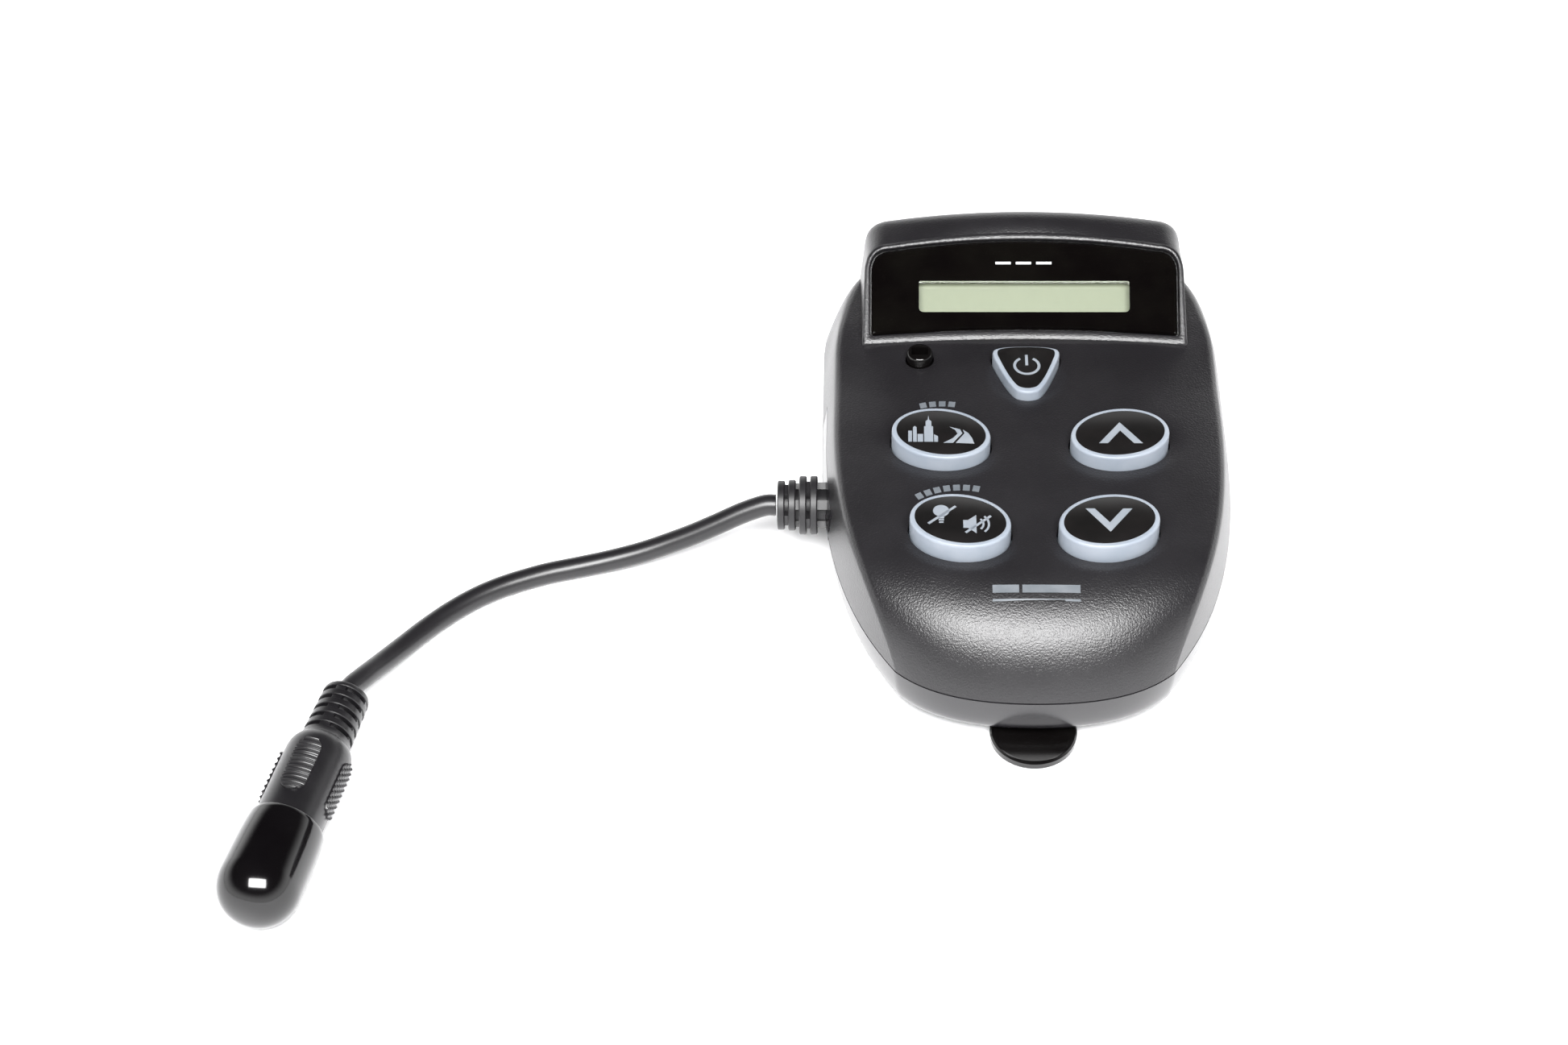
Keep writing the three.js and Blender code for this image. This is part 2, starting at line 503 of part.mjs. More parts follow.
// ---------------------------------------------------------------- cable, gland and plug
function buildGland() {
  const profile = [[0, 34.2], [4.6, 34.2], [4.6, 35.6], [3.2, 35.6]];
  for (const [start, radius] of GLAND_DISCS) {
    profile.push([3.2, start], [radius, start], [radius, start + GLAND_DISC_THICK], [3.2, start + GLAND_DISC_THICK]);
  }
  profile.pop();
  profile.push([0, GLAND_END]);
  return turned(profile, 20).rotateZ(Math.PI / 2).translate(0, EXIT.y, EXIT.z);
}
add('cable_gland', buildGland(), rubberBlack);

const cordSection = new THREE.Shape();
for (let i = 0; i < 10; i += 1) {
  const angle = (i / 10) * 2 * Math.PI;
  const [x, y] = [CORD_RADIUS * Math.cos(angle), CORD_RADIUS * Math.sin(angle)];
  if (i === 0) cordSection.moveTo(x, y);
  else cordSection.lineTo(x, y);
}
const cordCurve = new THREE.CatmullRomCurve3(CORD_ROUTE.map((point) => new THREE.Vector3(...point)));
add('cable', new THREE.ExtrudeGeometry(cordSection, { steps: 32, extrudePath: cordCurve }), cordBlack);

// The plug is modelled along +Y from the end of its strain relief.
const plug = new THREE.Group();
plug.position.set(PLUG.x, PLUG.y, PLUG.z);
plug.rotation.z = PLUG.heading;
unit.add(plug);

function buildPlugBody() {
  const profile = [[0, 0], [RELIEF.radius, 0]];
  for (let i = 0; i < 5; i += 1) {
    const start = 1.1 + i * RELIEF.pitch;
    const radius = RELIEF.radius + (RELIEF.flare * start) / RELIEF.end;
    profile.push([radius, start], [RELIEF.core, start], [RELIEF.core, start + RELIEF.groove]);
    profile.push([radius, start + RELIEF.groove]);
  }
  profile.push([RELIEF.radius + RELIEF.flare, RELIEF.end], [BARREL.radius - 1.2, RELIEF.end]);
  profile.push([BARREL.radius - 0.3, RELIEF.end + 1], [BARREL.radius, RELIEF.end + 2.4]);
  profile.push([BARREL.radius, BARREL.end], [0, BARREL.end]);
  const pads = [0, 1, 2, 3].map((quarter) => new THREE.CapsuleGeometry(2.5, 7.4, 2, 8)
    .scale(1, 1, 0.5).translate(0, 22, BARREL.radius - 0.75)
    .rotateY(quarter * (Math.PI / 2)));
  const spines = [0, 1, 2, 3].map((quarter) => box(-1, 1, 0.5, RELIEF.end, 3, RELIEF.radius - 0.15)
    .rotateY(quarter * (Math.PI / 2)));
  return join(turned(profile, 16), ...pads, ...spines);
}

function buildPlugCap() {
  const domeOut = CAP.end - CAP.straight;
  const domeIn = domeOut - CAP.thick - 0.1;
  const arc = (radius, length, sign) => [1, 2, 3, 4].map((i) => {
    const angle = ((sign > 0 ? i : 5 - i) / 5) * (Math.PI / 2);
    return [radius * Math.cos(angle), CAP.straight + length * Math.sin(angle)];
  });
  return turned([
    [0, CAP.straight + domeIn], ...arc(CAP.bore, domeIn, -1), [CAP.bore, CAP.straight],
    [CAP.bore, CAP.start], [CAP.radius - 0.25, CAP.start], [CAP.radius, CAP.start + 3],
    [CAP.radius, CAP.straight], ...arc(CAP.radius, domeOut, 1), [0, CAP.end],
  ], 24);
}

const shellStart = BARREL.end + GAP;
add('plug_body', buildPlugBody(), plugBlack, plug);
add('plug_shell', turned([
  [PLUG_SHELL.inner, shellStart], [PLUG_SHELL.outer, shellStart], [PLUG_SHELL.outer, PLUG_SHELL.end],
  [PLUG_SHELL.inner, PLUG_SHELL.end], [PLUG_SHELL.inner, shellStart],
], 20), steel, plug);
add('plug_insert', turned([
  [0, shellStart], [PLUG_SHELL.inner - GAP, shellStart], [PLUG_SHELL.inner - GAP, 39.4], [0, 39.4],
], 16), nylonWhite, plug);
for (let i = 0; i < 6; i += 1) {
  const angle = Math.PI / 6 + i * (Math.PI / 3);
  const pin = new THREE.CylinderGeometry(0.45, 0.45, 3.8, 8).translate(0, 39.4 + GAP + 1.9, 0);
  add(`plug_pin_${i + 1}`, pin, gold, plug).position.set(2.4 * Math.cos(angle), 0, 2.4 * Math.sin(angle));
}
add('plug_cap', buildPlugCap(), glossBlack, plug);

export default unit;
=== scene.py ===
import math

import bmesh
import bpy
from mathutils import Matrix, Vector


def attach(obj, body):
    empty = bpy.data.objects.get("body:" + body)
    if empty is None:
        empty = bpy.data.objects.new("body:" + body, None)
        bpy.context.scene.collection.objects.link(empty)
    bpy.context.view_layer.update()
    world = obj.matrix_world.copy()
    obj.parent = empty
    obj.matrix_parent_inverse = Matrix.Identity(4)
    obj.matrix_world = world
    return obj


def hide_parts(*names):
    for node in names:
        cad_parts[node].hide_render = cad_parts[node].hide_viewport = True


# A small dash unit with a hooded display, five keys and a short capped lead.
# Everything below is written in millimetres and turned to metres by mm.
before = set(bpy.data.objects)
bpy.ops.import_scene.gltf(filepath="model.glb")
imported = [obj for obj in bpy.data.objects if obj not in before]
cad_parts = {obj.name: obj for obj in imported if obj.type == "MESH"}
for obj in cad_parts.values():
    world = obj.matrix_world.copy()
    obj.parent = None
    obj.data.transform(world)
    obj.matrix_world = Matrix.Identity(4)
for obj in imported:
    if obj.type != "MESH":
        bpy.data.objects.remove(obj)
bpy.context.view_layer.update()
mm = 0.001

# ---- camera and room
shot = {"place": (-0.03014, -0.41901, 0.42816), "look": (-0.02832, 0.70536, -0.70828), "roll": -0.0260,
        "lens": 70}
room = {
    "floor": 3.0,
    "softbox": (0.85, 0.45), "softboxAt": (-0.02, -0.61, 0.88), "softboxPower": 36.0,
    "fill": 2.4, "fillAt": (0, 0.1, 1.3), "fillPower": 14.0,
    "horizon": 2.0, "ceiling": 0.02, "fadeFrom": 0.10, "fadeTo": 0.5,
}

cameraData = bpy.data.cameras.new("camera")
cameraData.lens = shot["lens"]
cameraData.sensor_width = 36
camera = bpy.data.objects.new("camera", cameraData)
camera.location = shot["place"]
cameraTurn = Vector(shot["look"]).to_track_quat("-Z", "Y").to_matrix() @ Matrix.Rotation(shot["roll"], 3, "Z")
camera.rotation_euler = cameraTurn.to_euler()
bpy.context.collection.objects.link(camera)
bpy.context.scene.camera = camera
bpy.context.scene.view_settings.view_transform = "Standard"


# ---- small helpers
def linear(code):  # an sRGB hex colour as linear RGBA
    parts = [int(code[i:i + 2], 16) / 255 for i in (0, 2, 4)]
    return tuple(c / 12.92 if c <= 0.04045 else ((c + 0.055) / 1.055) ** 2.4 for c in parts) + (1,)


def smooth(value, low, high):
    t = min(1, max(0, (value - low) / (high - low)))
    return t * t * (3 - 2 * t)


def mix(a, b, t):
    return a + (b - a) * t


def bezier(points, t):
    while len(points) > 1:
        points = [tuple(mix(a, b, t) for a, b in zip(p, q)) for p, q in zip(points, points[1:])]
    return points[0]


def deselect():
    bpy.ops.object.select_all(action="DESELECT")


def choose(piece):
    deselect()
    piece.select_set(True)
    bpy.context.view_layer.objects.active = piece


def named(name, material):  # the object that an operator has just made
    piece = bpy.context.object
    piece.name = piece.data.name = name
    piece.data.materials.clear()
    piece.data.materials.append(material)
    return piece


def settle(piece, angle=35, matrix=None):  # put its place in its mesh, and shade it
    choose(piece)
    if matrix is not None:
        piece.matrix_world = matrix
    bpy.ops.object.transform_apply(location=True, rotation=True, scale=True)
    bpy.ops.object.shade_smooth_by_angle(angle=math.radians(angle))
    return piece


def weld(piece, recalculate=True):
    choose(piece)
    bpy.ops.object.mode_set(mode="EDIT")
    bpy.ops.mesh.select_all(action="SELECT")
    bpy.ops.mesh.remove_doubles(threshold=0.004 * mm)
    if recalculate:
        bpy.ops.mesh.normals_make_consistent(inside=False)
    bpy.ops.object.mode_set(mode="OBJECT")


def pick(piece, kind, test):  # in edit mode, select what passes the test
    bpy.ops.mesh.select_mode(type=kind)
    bpy.ops.mesh.select_all(action="DESELECT")
    cage = bmesh.from_edit_mesh(piece.data)
    for item in {"FACE": cage.faces, "EDGE": cage.edges, "VERT": cage.verts}[kind]:
        item.select_set(bool(test(item)))
    cage.select_flush_mode()
    bmesh.update_edit_mesh(piece.data)


def modify(piece, kind, **settings):
    choose(piece)
    modifier = piece.modifiers.new(kind.lower(), kind)
    for key, value in settings.items():
        setattr(modifier, key, value)
    bpy.ops.object.modifier_apply(modifier=modifier.name)


def carve(piece, tool, operation="DIFFERENCE"):
    modify(piece, "BOOLEAN", operation=operation, object=tool, solver="EXACT")
    bpy.data.objects.remove(tool, do_unlink=True)


def joined(pieces, name, material):
    deselect()
    for piece in pieces:
        piece.select_set(True)
    bpy.context.view_layer.objects.active = pieces[0]
    if len(pieces) > 1:
        bpy.ops.object.join()
    piece = named(name, material)
    for face in piece.data.polygons:
        face.material_index = 0
    return piece


# A sheet of quads whose corners go where place(column, row) says.
def moulded(name, columns, rows, place, material, recalculate=True):
    deselect()
    bpy.ops.mesh.primitive_grid_add(x_subdivisions=columns, y_subdivisions=rows, size=1)
    piece = named(name, material)
    for vertex in piece.data.vertices:
        column = round((vertex.co.x + 0.5) * columns)
        row = round((vertex.co.y + 0.5) * rows)
        vertex.co = Vector(place(column, row)) * mm
    weld(piece, recalculate)
    return piece


# A turned piece: a disc, extruded up and resized step by step along a profile of (radius, height).
def turned(name, profile, sides, material):
    deselect()
    radius, height = profile[0]
    bpy.ops.mesh.primitive_circle_add(vertices=sides, radius=radius * mm, fill_type="NGON",
                                      location=(0, 0, height * mm))
    piece = named(name, material)
    bpy.ops.object.transform_apply(location=True)
    bpy.ops.object.mode_set(mode="EDIT")
    bpy.ops.mesh.select_all(action="SELECT")
    for nextRadius, nextHeight in profile[1:]:
        bpy.ops.mesh.extrude_region_move(
            TRANSFORM_OT_translate={"value": (0, 0, (nextHeight - height) * mm)})
        ratio = nextRadius / radius
        bpy.ops.transform.resize(value=(ratio, ratio, 1), center_override=(0, 0, 0))
        radius, height = nextRadius, nextHeight
    bpy.ops.object.mode_set(mode="OBJECT")
    weld(piece)
    return piece


# A key-like slab: the same, from an outline of any shape and steps of (scale, height).
def stacked(name, outline, steps, material):
    deselect()
    bpy.ops.mesh.primitive_circle_add(vertices=len(outline), radius=1, fill_type="NGON")
    piece = named(name, material)
    scale, height = steps[0]
    for vertex, (x, y) in zip(piece.data.vertices, outline):
        vertex.co = Vector((x * scale, y * scale, height)) * mm
    bpy.ops.object.mode_set(mode="EDIT")
    bpy.ops.mesh.select_all(action="SELECT")
    for nextScale, nextHeight in steps[1:]:
        bpy.ops.mesh.extrude_region_move(
            TRANSFORM_OT_translate={"value": (0, 0, (nextHeight - height) * mm)})
        ratio = nextScale / scale
        bpy.ops.transform.resize(value=(ratio, ratio, 1), center_override=(0, 0, 0))
        scale, height = nextScale, nextHeight
    bpy.ops.object.mode_set(mode="OBJECT")
    weld(piece)
    return piece


def block(x0, x1, y0, y1, z0, z1):  # a cutting block
    deselect()
    bpy.ops.mesh.primitive_cube_add(size=1)
    piece = bpy.context.object
    piece.scale = (Vector((x1 - x0, y1 - y0, z1 - z0))) * mm
    piece.location = Vector((x0 + x1, y0 + y1, z0 + z1)) * mm / 2
    bpy.ops.object.transform_apply(location=True, rotation=True, scale=True)
    return piece


def rod(x, y, z0, z1, radius, sides=48):  # an upright cutting cylinder
    deselect()
    bpy.ops.mesh.primitive_cylinder_add(vertices=sides, radius=radius * mm, depth=(z1 - z0) * mm,
                                        location=(x * mm, y * mm, (z0 + z1) * mm / 2))
    bpy.ops.object.transform_apply(location=True, rotation=True, scale=True)
    return bpy.context.object


def axle(x, y, z, length, radius, sides):  # a cylinder lying along x
    deselect()
    bpy.ops.mesh.primitive_cylinder_add(vertices=sides, radius=radius * mm, depth=length * mm,
                                        location=(x * mm, y * mm, z * mm), rotation=(0, math.pi / 2, 0))
    return bpy.context.object


def twin(piece):
    choose(piece)
    bpy.ops.object.duplicate()
    return bpy.context.object


def fillEnds(piece):  # close every open end, and turn the faces outward
    choose(piece)
    bpy.ops.object.mode_set(mode="EDIT")
    pick(piece, "EDGE", lambda edge: edge.is_boundary)
    bpy.ops.mesh.fill_holes(sides=0)
    bpy.ops.mesh.select_all(action="SELECT")
    bpy.ops.mesh.normals_make_consistent(inside=False)
    bpy.ops.object.mode_set(mode="OBJECT")


def report(stage):
    print("stage:", stage)


# ---- materials
def addNode(material, kind, settings=None, links=None, **choices):
    tree = material.node_tree
    node = tree.nodes.new(kind)
    for key, value in choices.items():
        setattr(node, key, value)
    for key, value in (settings or {}).items():
        node.inputs[key].default_value = value
    for key, source in (links or {}).items():
        tree.links.new(source, node.inputs[key])
    return node


def newMaterial(name, settings):
    material = bpy.data.materials.new(name)
    material.use_nodes = True
    shader = material.node_tree.nodes["Principled BSDF"]
    for key, value in settings.items():
        shader.inputs[key].default_value = value
    return material, shader


def grained(name, settings, dark, light, blotch, grain, depth, roughLow, roughHigh):
    # moulded plastic: faint clouding of colour, and a fine grain in the surface
    material, shader = newMaterial(name, settings)
    links = material.node_tree.links
    place = addNode(material, "ShaderNodeTexCoord")
    cloud = addNode(material, "ShaderNodeTexNoise", {"Scale": 1 / (blotch * mm), "Detail": 3},
                    {"Vector": place.outputs["Object"]})
    colour = addNode(material, "ShaderNodeValToRGB", None, {"Fac": cloud.outputs["Fac"]})
    colour.color_ramp.elements[0].color = linear(dark)
    colour.color_ramp.elements[0].position = 0.35
    colour.color_ramp.elements[1].color = linear(light)
    colour.color_ramp.elements[1].position = 0.65
    links.new(colour.outputs["Color"], shader.inputs["Base Color"])
    pits = addNode(material, "ShaderNodeTexNoise",
                   {"Scale": 1 / (grain * mm), "Detail": 2, "Roughness": 0.55},
                   {"Vector": place.outputs["Object"]})
    rough = addNode(material, "ShaderNodeMapRange", {"To Min": roughLow, "To Max": roughHigh},
                    {"Value": cloud.outputs["Fac"]})
    links.new(rough.outputs["Result"], shader.inputs["Roughness"])
    bump = addNode(material, "ShaderNodeBump", {"Strength": 1, "Distance": depth * mm},
                   {"Height": pits.outputs["Fac"]})
    links.new(bump.outputs["Normal"], shader.inputs["Normal"])
    return material


# black ABS from a spark-eroded mould: a fine even grain that glitters where light glances off
texturedAbs = grained("sparkErodedAbs", {"IOR": 1.5}, "161517", "1a191b", 14, 0.36, 0.075, 0.29, 0.35)
# the same ABS from a polished mould: satin, it mirrors the table softly
satinAbs = grained("satinAbs", {"IOR": 1.5}, "18171a", "1c1b1d", 20, 0.5, 0.002, 0.17, 0.22)
# hard-coated acrylic, black from behind: a clean mirror with a few faint smears
pianoBlack = grained("blackBackedAcrylic", {"IOR": 1.49}, "040303", "070605", 9, 3, 0.0004, 0.02, 0.06)
# silicone rubber with a pigment of pale blue grey: milky at the edges, dull shine
keySilicone = grained("translucentSilicone",
                      {"IOR": 1.43, "Subsurface Weight": 0.35, "Subsurface Scale": 0.0012,
                       "Subsurface Radius": (1, 1.05, 1.2)},
                      "787f88", "80868e", 6, 0.4, 0.003, 0.34, 0.42)
# pad-printed ink, lacquered: a flat black film
keyInk = grained("lacqueredInk", {"IOR": 1.5}, "0c0b0b", "100e0e", 5, 0.3, 0.001, 0.26, 0.34)
# grey and white screen-printed ink: thin, slightly dusty
greyInk = grained("greyScreenInk", {"IOR": 1.5}, "4e5358", "585c61", 3, 0.2, 0.002, 0.5, 0.6)
whiteInk = grained("whiteScreenInk", {"IOR": 1.5}, "a9acae", "b2b4b5", 3, 0.2, 0.002, 0.5, 0.6)
# soft PVC over the conductors: satin with faint drag marks
cordPvc = grained("cordPvc", {"IOR": 1.52}, "111012", "151416", 9, 0.6, 0.006, 0.3, 0.38)
# injection-moulded PVC: the plug's body, a touch duller
plugPvc = grained("mouldedPvc", {"IOR": 1.52}, "0f0e10", "131214", 7, 0.25, 0.005, 0.3, 0.38)
# thermoplastic rubber of the strain relief
glandRubber = grained("glandRubber", {"IOR": 1.5}, "131214", "181719", 4, 0.22, 0.012, 0.42, 0.52)
# dip-moulded vinyl: wet-looking gloss with a slow ripple
capVinyl = grained("dippedVinyl", {"IOR": 1.53}, "050405", "070607", 8, 5, 0.006, 0.09, 0.14)
# glossy ABS of the thumb tab and the sensor's boot
glossAbs = grained("polishedAbs", {"IOR": 1.5}, "060505", "0a0909", 8, 4, 0.002, 0.08, 0.14)
# zinc-plated steel: bright with a fine turned haze
zincSteel = grained("zincSteel", {"Metallic": 1}, "a9abad", "bfc1c2", 2, 0.12, 0.002, 0.25, 0.4)
goldPlate = grained("goldPlate", {"Metallic": 1}, "caa24c", "d6b060", 1.5, 0.1, 0.001, 0.2, 0.3)
castZinc = grained("castZinc", {"Metallic": 1}, "8b8d90", "a1a3a5", 3, 0.4, 0.02, 0.45, 0.6)
whiteNylon = grained("whiteNylon", {"IOR": 1.53}, "dfdcd2", "e8e5dc", 6, 0.3, 0.004, 0.45, 0.55)
matSilicone = grained("matSilicone", {"IOR": 1.43}, "7f8285", "8c8f92", 6, 0.3, 0.004, 0.5, 0.62)
solderMask = grained("greenSolderMask", {"IOR": 1.5}, "174a2b", "1f5c37", 4, 0.8, 0.01, 0.25, 0.4)
switchNylon = grained("blackNylon", {"IOR": 1.53}, "161617", "1d1d1f", 3, 0.2, 0.006, 0.45, 0.55)
smokedAcrylic = grained("smokedAcrylic", {"IOR": 1.49}, "1d0305", "280507", 7, 2, 0.001, 0.05, 0.09)
# a reflective liquid crystal panel: flat grey green under glass, with the faint grid of its segments
lcdPanel, lcdShader = newMaterial("reflectiveLcd", {"Roughness": 0.32, "IOR": 1.5})
lcdPlace = addNode(lcdPanel, "ShaderNodeTexCoord")
lcdGrid = addNode(lcdPanel, "ShaderNodeTexNoise", {"Scale": 1 / (1.2 * mm), "Detail": 4},
                  {"Vector": lcdPlace.outputs["Object"]})
lcdTint = addNode(lcdPanel, "ShaderNodeValToRGB", None, {"Fac": lcdGrid.outputs["Fac"]})
lcdTint.color_ramp.elements[0].color = linear("757a69")
lcdTint.color_ramp.elements[1].color = linear("7b806e")
lcdPanel.node_tree.links.new(lcdTint.outputs["Color"], lcdShader.inputs["Base Color"])

# clear acrylic: lets the panel below through and keeps a mirror's share of the room
clearAcrylic = bpy.data.materials.new("clearAcrylic")
clearAcrylic.use_nodes = True
clearTree = clearAcrylic.node_tree
clearTree.nodes.remove(clearTree.nodes["Principled BSDF"])
clearShare = addNode(clearAcrylic, "ShaderNodeFresnel", {"IOR": 1.49})
clearThrough = addNode(clearAcrylic, "ShaderNodeBsdfTransparent", {"Color": (0.96, 0.97, 0.95, 1)})
clearMirror = addNode(clearAcrylic, "ShaderNodeBsdfGlossy", {"Roughness": 0.03})
clearMix = addNode(clearAcrylic, "ShaderNodeMixShader", None,
                   {0: clearShare.outputs[0], 1: clearThrough.outputs[0], 2: clearMirror.outputs[0]})
clearTree.links.new(clearMix.outputs[0], clearTree.nodes["Material Output"].inputs["Surface"])
report("materials")

# ---- cable, first of the pieces
cable = {
    "radius": 2.1,
    "route": [
        (-48.4, -1, 13.2), (-50.65, -1.03, 13.1), (-54.9, -1.65, 11.7), (-59.85, -2.65, 9.6),
        (-64.6, -3.5, 7.6), (-69.4, -4.2, 5.8), (-74.1, -4.95, 4.3), (-78.9, -5.7, 3.2),
        (-83.5, -6.5, 2.5), (-88.15, -7.55, 2.2), (-92.8, -8.85, 2.15), (-97.3, -10.6, 2.15),
        (-101.75, -12.7, 2.15), (-106.2, -15.5, 2.15), (-110.55, -19.2, 2.2), (-114.7, -23.8, 2.5),
        (-118.5, -29.3, 3.4), (-121.85, -35, 4.9), (-124.5, -40.05, 6.6), (-126.3, -43.4, 7.5),
        (-126.77, -45.51, 7.65),
    ],
}


def throughPoints(points, steps):  # one smooth curve through all of the points
    points = [Vector(p) for p in points]
    ends = [points[0] * 2 - points[1]] + points + [points[-1] * 2 - points[-2]]
    line = []
    for a, b, c, d in zip(ends, ends[1:], ends[2:], ends[3:]):
        for step in range(steps):
            t = step / steps
            line.append(0.5 * ((2 * b) + (c - a) * t + (2 * a - 5 * b + 4 * c - d) * t ** 2
                               + (3 * b - a - 3 * c + d) * t ** 3))
    return line + [points[-1]]


cableLine = throughPoints(cable["route"], 6)
cableLength = sum((b - a).length for a, b in zip(cableLine, cableLine[1:]))
cableCurve = bpy.data.curves.new("lead", "CURVE")
cableCurve.dimensions = "3D"
cableCurve.bevel_depth = cable["radius"] * mm
cableCurve.bevel_resolution = 10
cableCurve.use_fill_caps = True
cableSpline = cableCurve.splines.new("POLY")
cableSpline.points.add(len(cableLine) - 1)
for point, place in zip(cableSpline.points, cableLine):
    point.co = (*(place * mm), 1)
cableSpline.use_smooth = True
lead = bpy.data.objects.new("lead", cableCurve)
bpy.context.collection.objects.link(lead)
lead.data.materials.append(cordPvc)
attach(lead, "case")
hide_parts("cable")
report("cable %.1f mm" % cableLength)

# ---- the case's plan and top, as in the CAD
case = {
    "halfWidth": 39.6, "nearY": -52.1, "farY": 56.55, "parting": 13.2, "gap": 0.3,
    "corner": (25.5, -44.3), "farCorner": (33, 54.9), "wall": 2,
    "endRadius": 22.8, "endTilt": 1.257, "crownRadius": 430, "crownZ": 29.8, "crownAt": 47.3,
    "sideDrop": 0.18, "creaseX": 36, "panelColumns": 136, "cheekColumns": 9, "rows": 194,
    "tongue": (-9.5, 20.5, 18.7), "tongueX": (-50, -33), "tongueGap": 0.25, "exit": (-1, 13.2, 3.6),
}
nearLine = [(0, case["nearY"]), (14, case["nearY"]), (21, -48.7), case["corner"]]
farLine = [(0, case["farY"]), (12, case["farY"]), (24, 56), case["farCorner"]]
sideLines = [
    [case["corner"], (31.2, -35.9), (39.6, -21), (39.6, 11.5)],
    [(39.6, 11.5), (39.6, 41)],
    [(39.6, 41), (39.6, 49), (38, 53), case["farCorner"]],
]
sidePoints = [bezier(line, i / 120) for line in sideLines for i in range(121)]
sideWay = [0.0]
for a, b in zip(sidePoints, sidePoints[1:]):
    sideWay.append(sideWay[-1] + math.dist(a, b))


def sideAt(along):
    goal = along * sideWay[-1]
    low, high = 0, len(sideWay) - 1
    while high - low > 1:
        middle = (low + high) // 2
        low, high = (middle, high) if sideWay[middle] <= goal else (low, middle)
    span = sideWay[high] - sideWay[low] or 1
    t = (goal - sideWay[low]) / span
    return tuple(mix(a, b, t) for a, b in zip(sidePoints[low], sidePoints[high]))


def planPoint(across, along):  # across -1 to 1, along 0 at the near end to 1 at the far end
    share = abs(across)
    near, far, side = bezier(nearLine, share), bezier(farLine, share), sideAt(along)
    straight = [mix(a, b, along) for a, b in zip(case["corner"], case["farCorner"])]
    x, y = [mix(near[i], far[i], along) + (side[i] - straight[i]) * share for i in (0, 1)]
    return math.copysign(x, across), y, y - near[1]


def creaseAt(along):
    return 1 - 0.083 * (1 - math.exp(-along / 0.15)) - 0.08 * smooth(along, 0.72, 0.96)


keys = {
    "halfLong": 9.4, "halfShort": 6.8, "gap": 0.35, "dish": 0.5, "dishReach": 1.7,
    "mode": (-16.85, -0.7, 32.3, -0.19), "up": (16.85, -0.7, 32.3, 0.19),
    "backlight": (-13.65, -23.8, 32.2, -0.21), "down": (13.65, -23.8, 32.2, 0.21),
    "power": (0, 18.6, 31.3, 0), "powerSize": (6.6, 6.3, 7),
}
ovalNames = ("mode", "up", "backlight", "down")
sensor = {"x": -20.6, "y": 24, "radius": 2.5, "top": 30.6}


def dishAt(x, y):  # the panel sinks a little round each key
    sink = 0
    for name in ovalNames:
        keyX, keyY, _, turn = keys[name]
        dx, dy = x - keyX, y - keyY
        u = dx * math.cos(turn) + dy * math.sin(turn)
        v = dy * math.cos(turn) - dx * math.sin(turn)
        reach = math.hypot(u / keys["halfLong"], v / keys["halfShort"])
        away = (reach - 1) * keys["halfShort"] * 1.1
        sink = max(sink, keys["dish"] * math.exp(-(max(0, away) / keys["dishReach"]) ** 2))
    away = math.hypot(x / 6.8, (y - 19) / 6.9) * 6.8 - 6.4
    sink = max(sink, 0.35 * math.exp(-(max(0, away) / 1.4) ** 2))
    away = math.hypot(x - sensor["x"], y - sensor["y"]) - sensor["radius"]
    return max(sink, 0.4 * math.exp(-(max(0, away) / 0.9) ** 2))


def panelHeight(x, y, fromEnd):
    sine = math.sin(case["endTilt"]) - fromEnd / case["endRadius"]
    roll = case["endRadius"] * (math.sqrt(max(0, 1 - sine * sine)) - math.cos(case["endTilt"]))
    crown = case["crownZ"] - (fromEnd - case["crownAt"]) ** 2 / (2 * case["crownRadius"])
    rise = crown - case["parting"]
    if sine > 0.07:
        rise = min(roll, rise)
    drop = case["sideDrop"] * (1 - 0.55 * smooth(fromEnd, 62, 84))
    return case["parting"] + rise * (1 - drop * (x / case["creaseX"]) ** 4) - dishAt(x, y)


def panelAt(x, y):  # height of the finished panel over a point of the plan
    across = x / case["creaseX"]
    low, high = 0.0, 1.0
    for _ in range(3):
        low, high = 0.0, 1.0
        for _ in range(24):
            middle = (low + high) / 2
            low, high = (middle, high) if planPoint(across, middle)[1] < y else (low, middle)
        found = planPoint(across, low)
        across *= x / found[0] if abs(found[0]) > 0.01 else 1
    return panelHeight(x, y, found[2])


def rowShare(row, rows):  # rows lie closer together at both ends
    u = row / rows
    return 0.55 * u + 0.45 * (1 - math.cos(math.pi * u)) / 2


# ---- upper case: panel, bevel along each crease, cheeks, far wall
wallRows = 6
facetColumns = 3
sideColumns = facetColumns + case["cheekColumns"]
panelHalf = case["panelColumns"] // 2


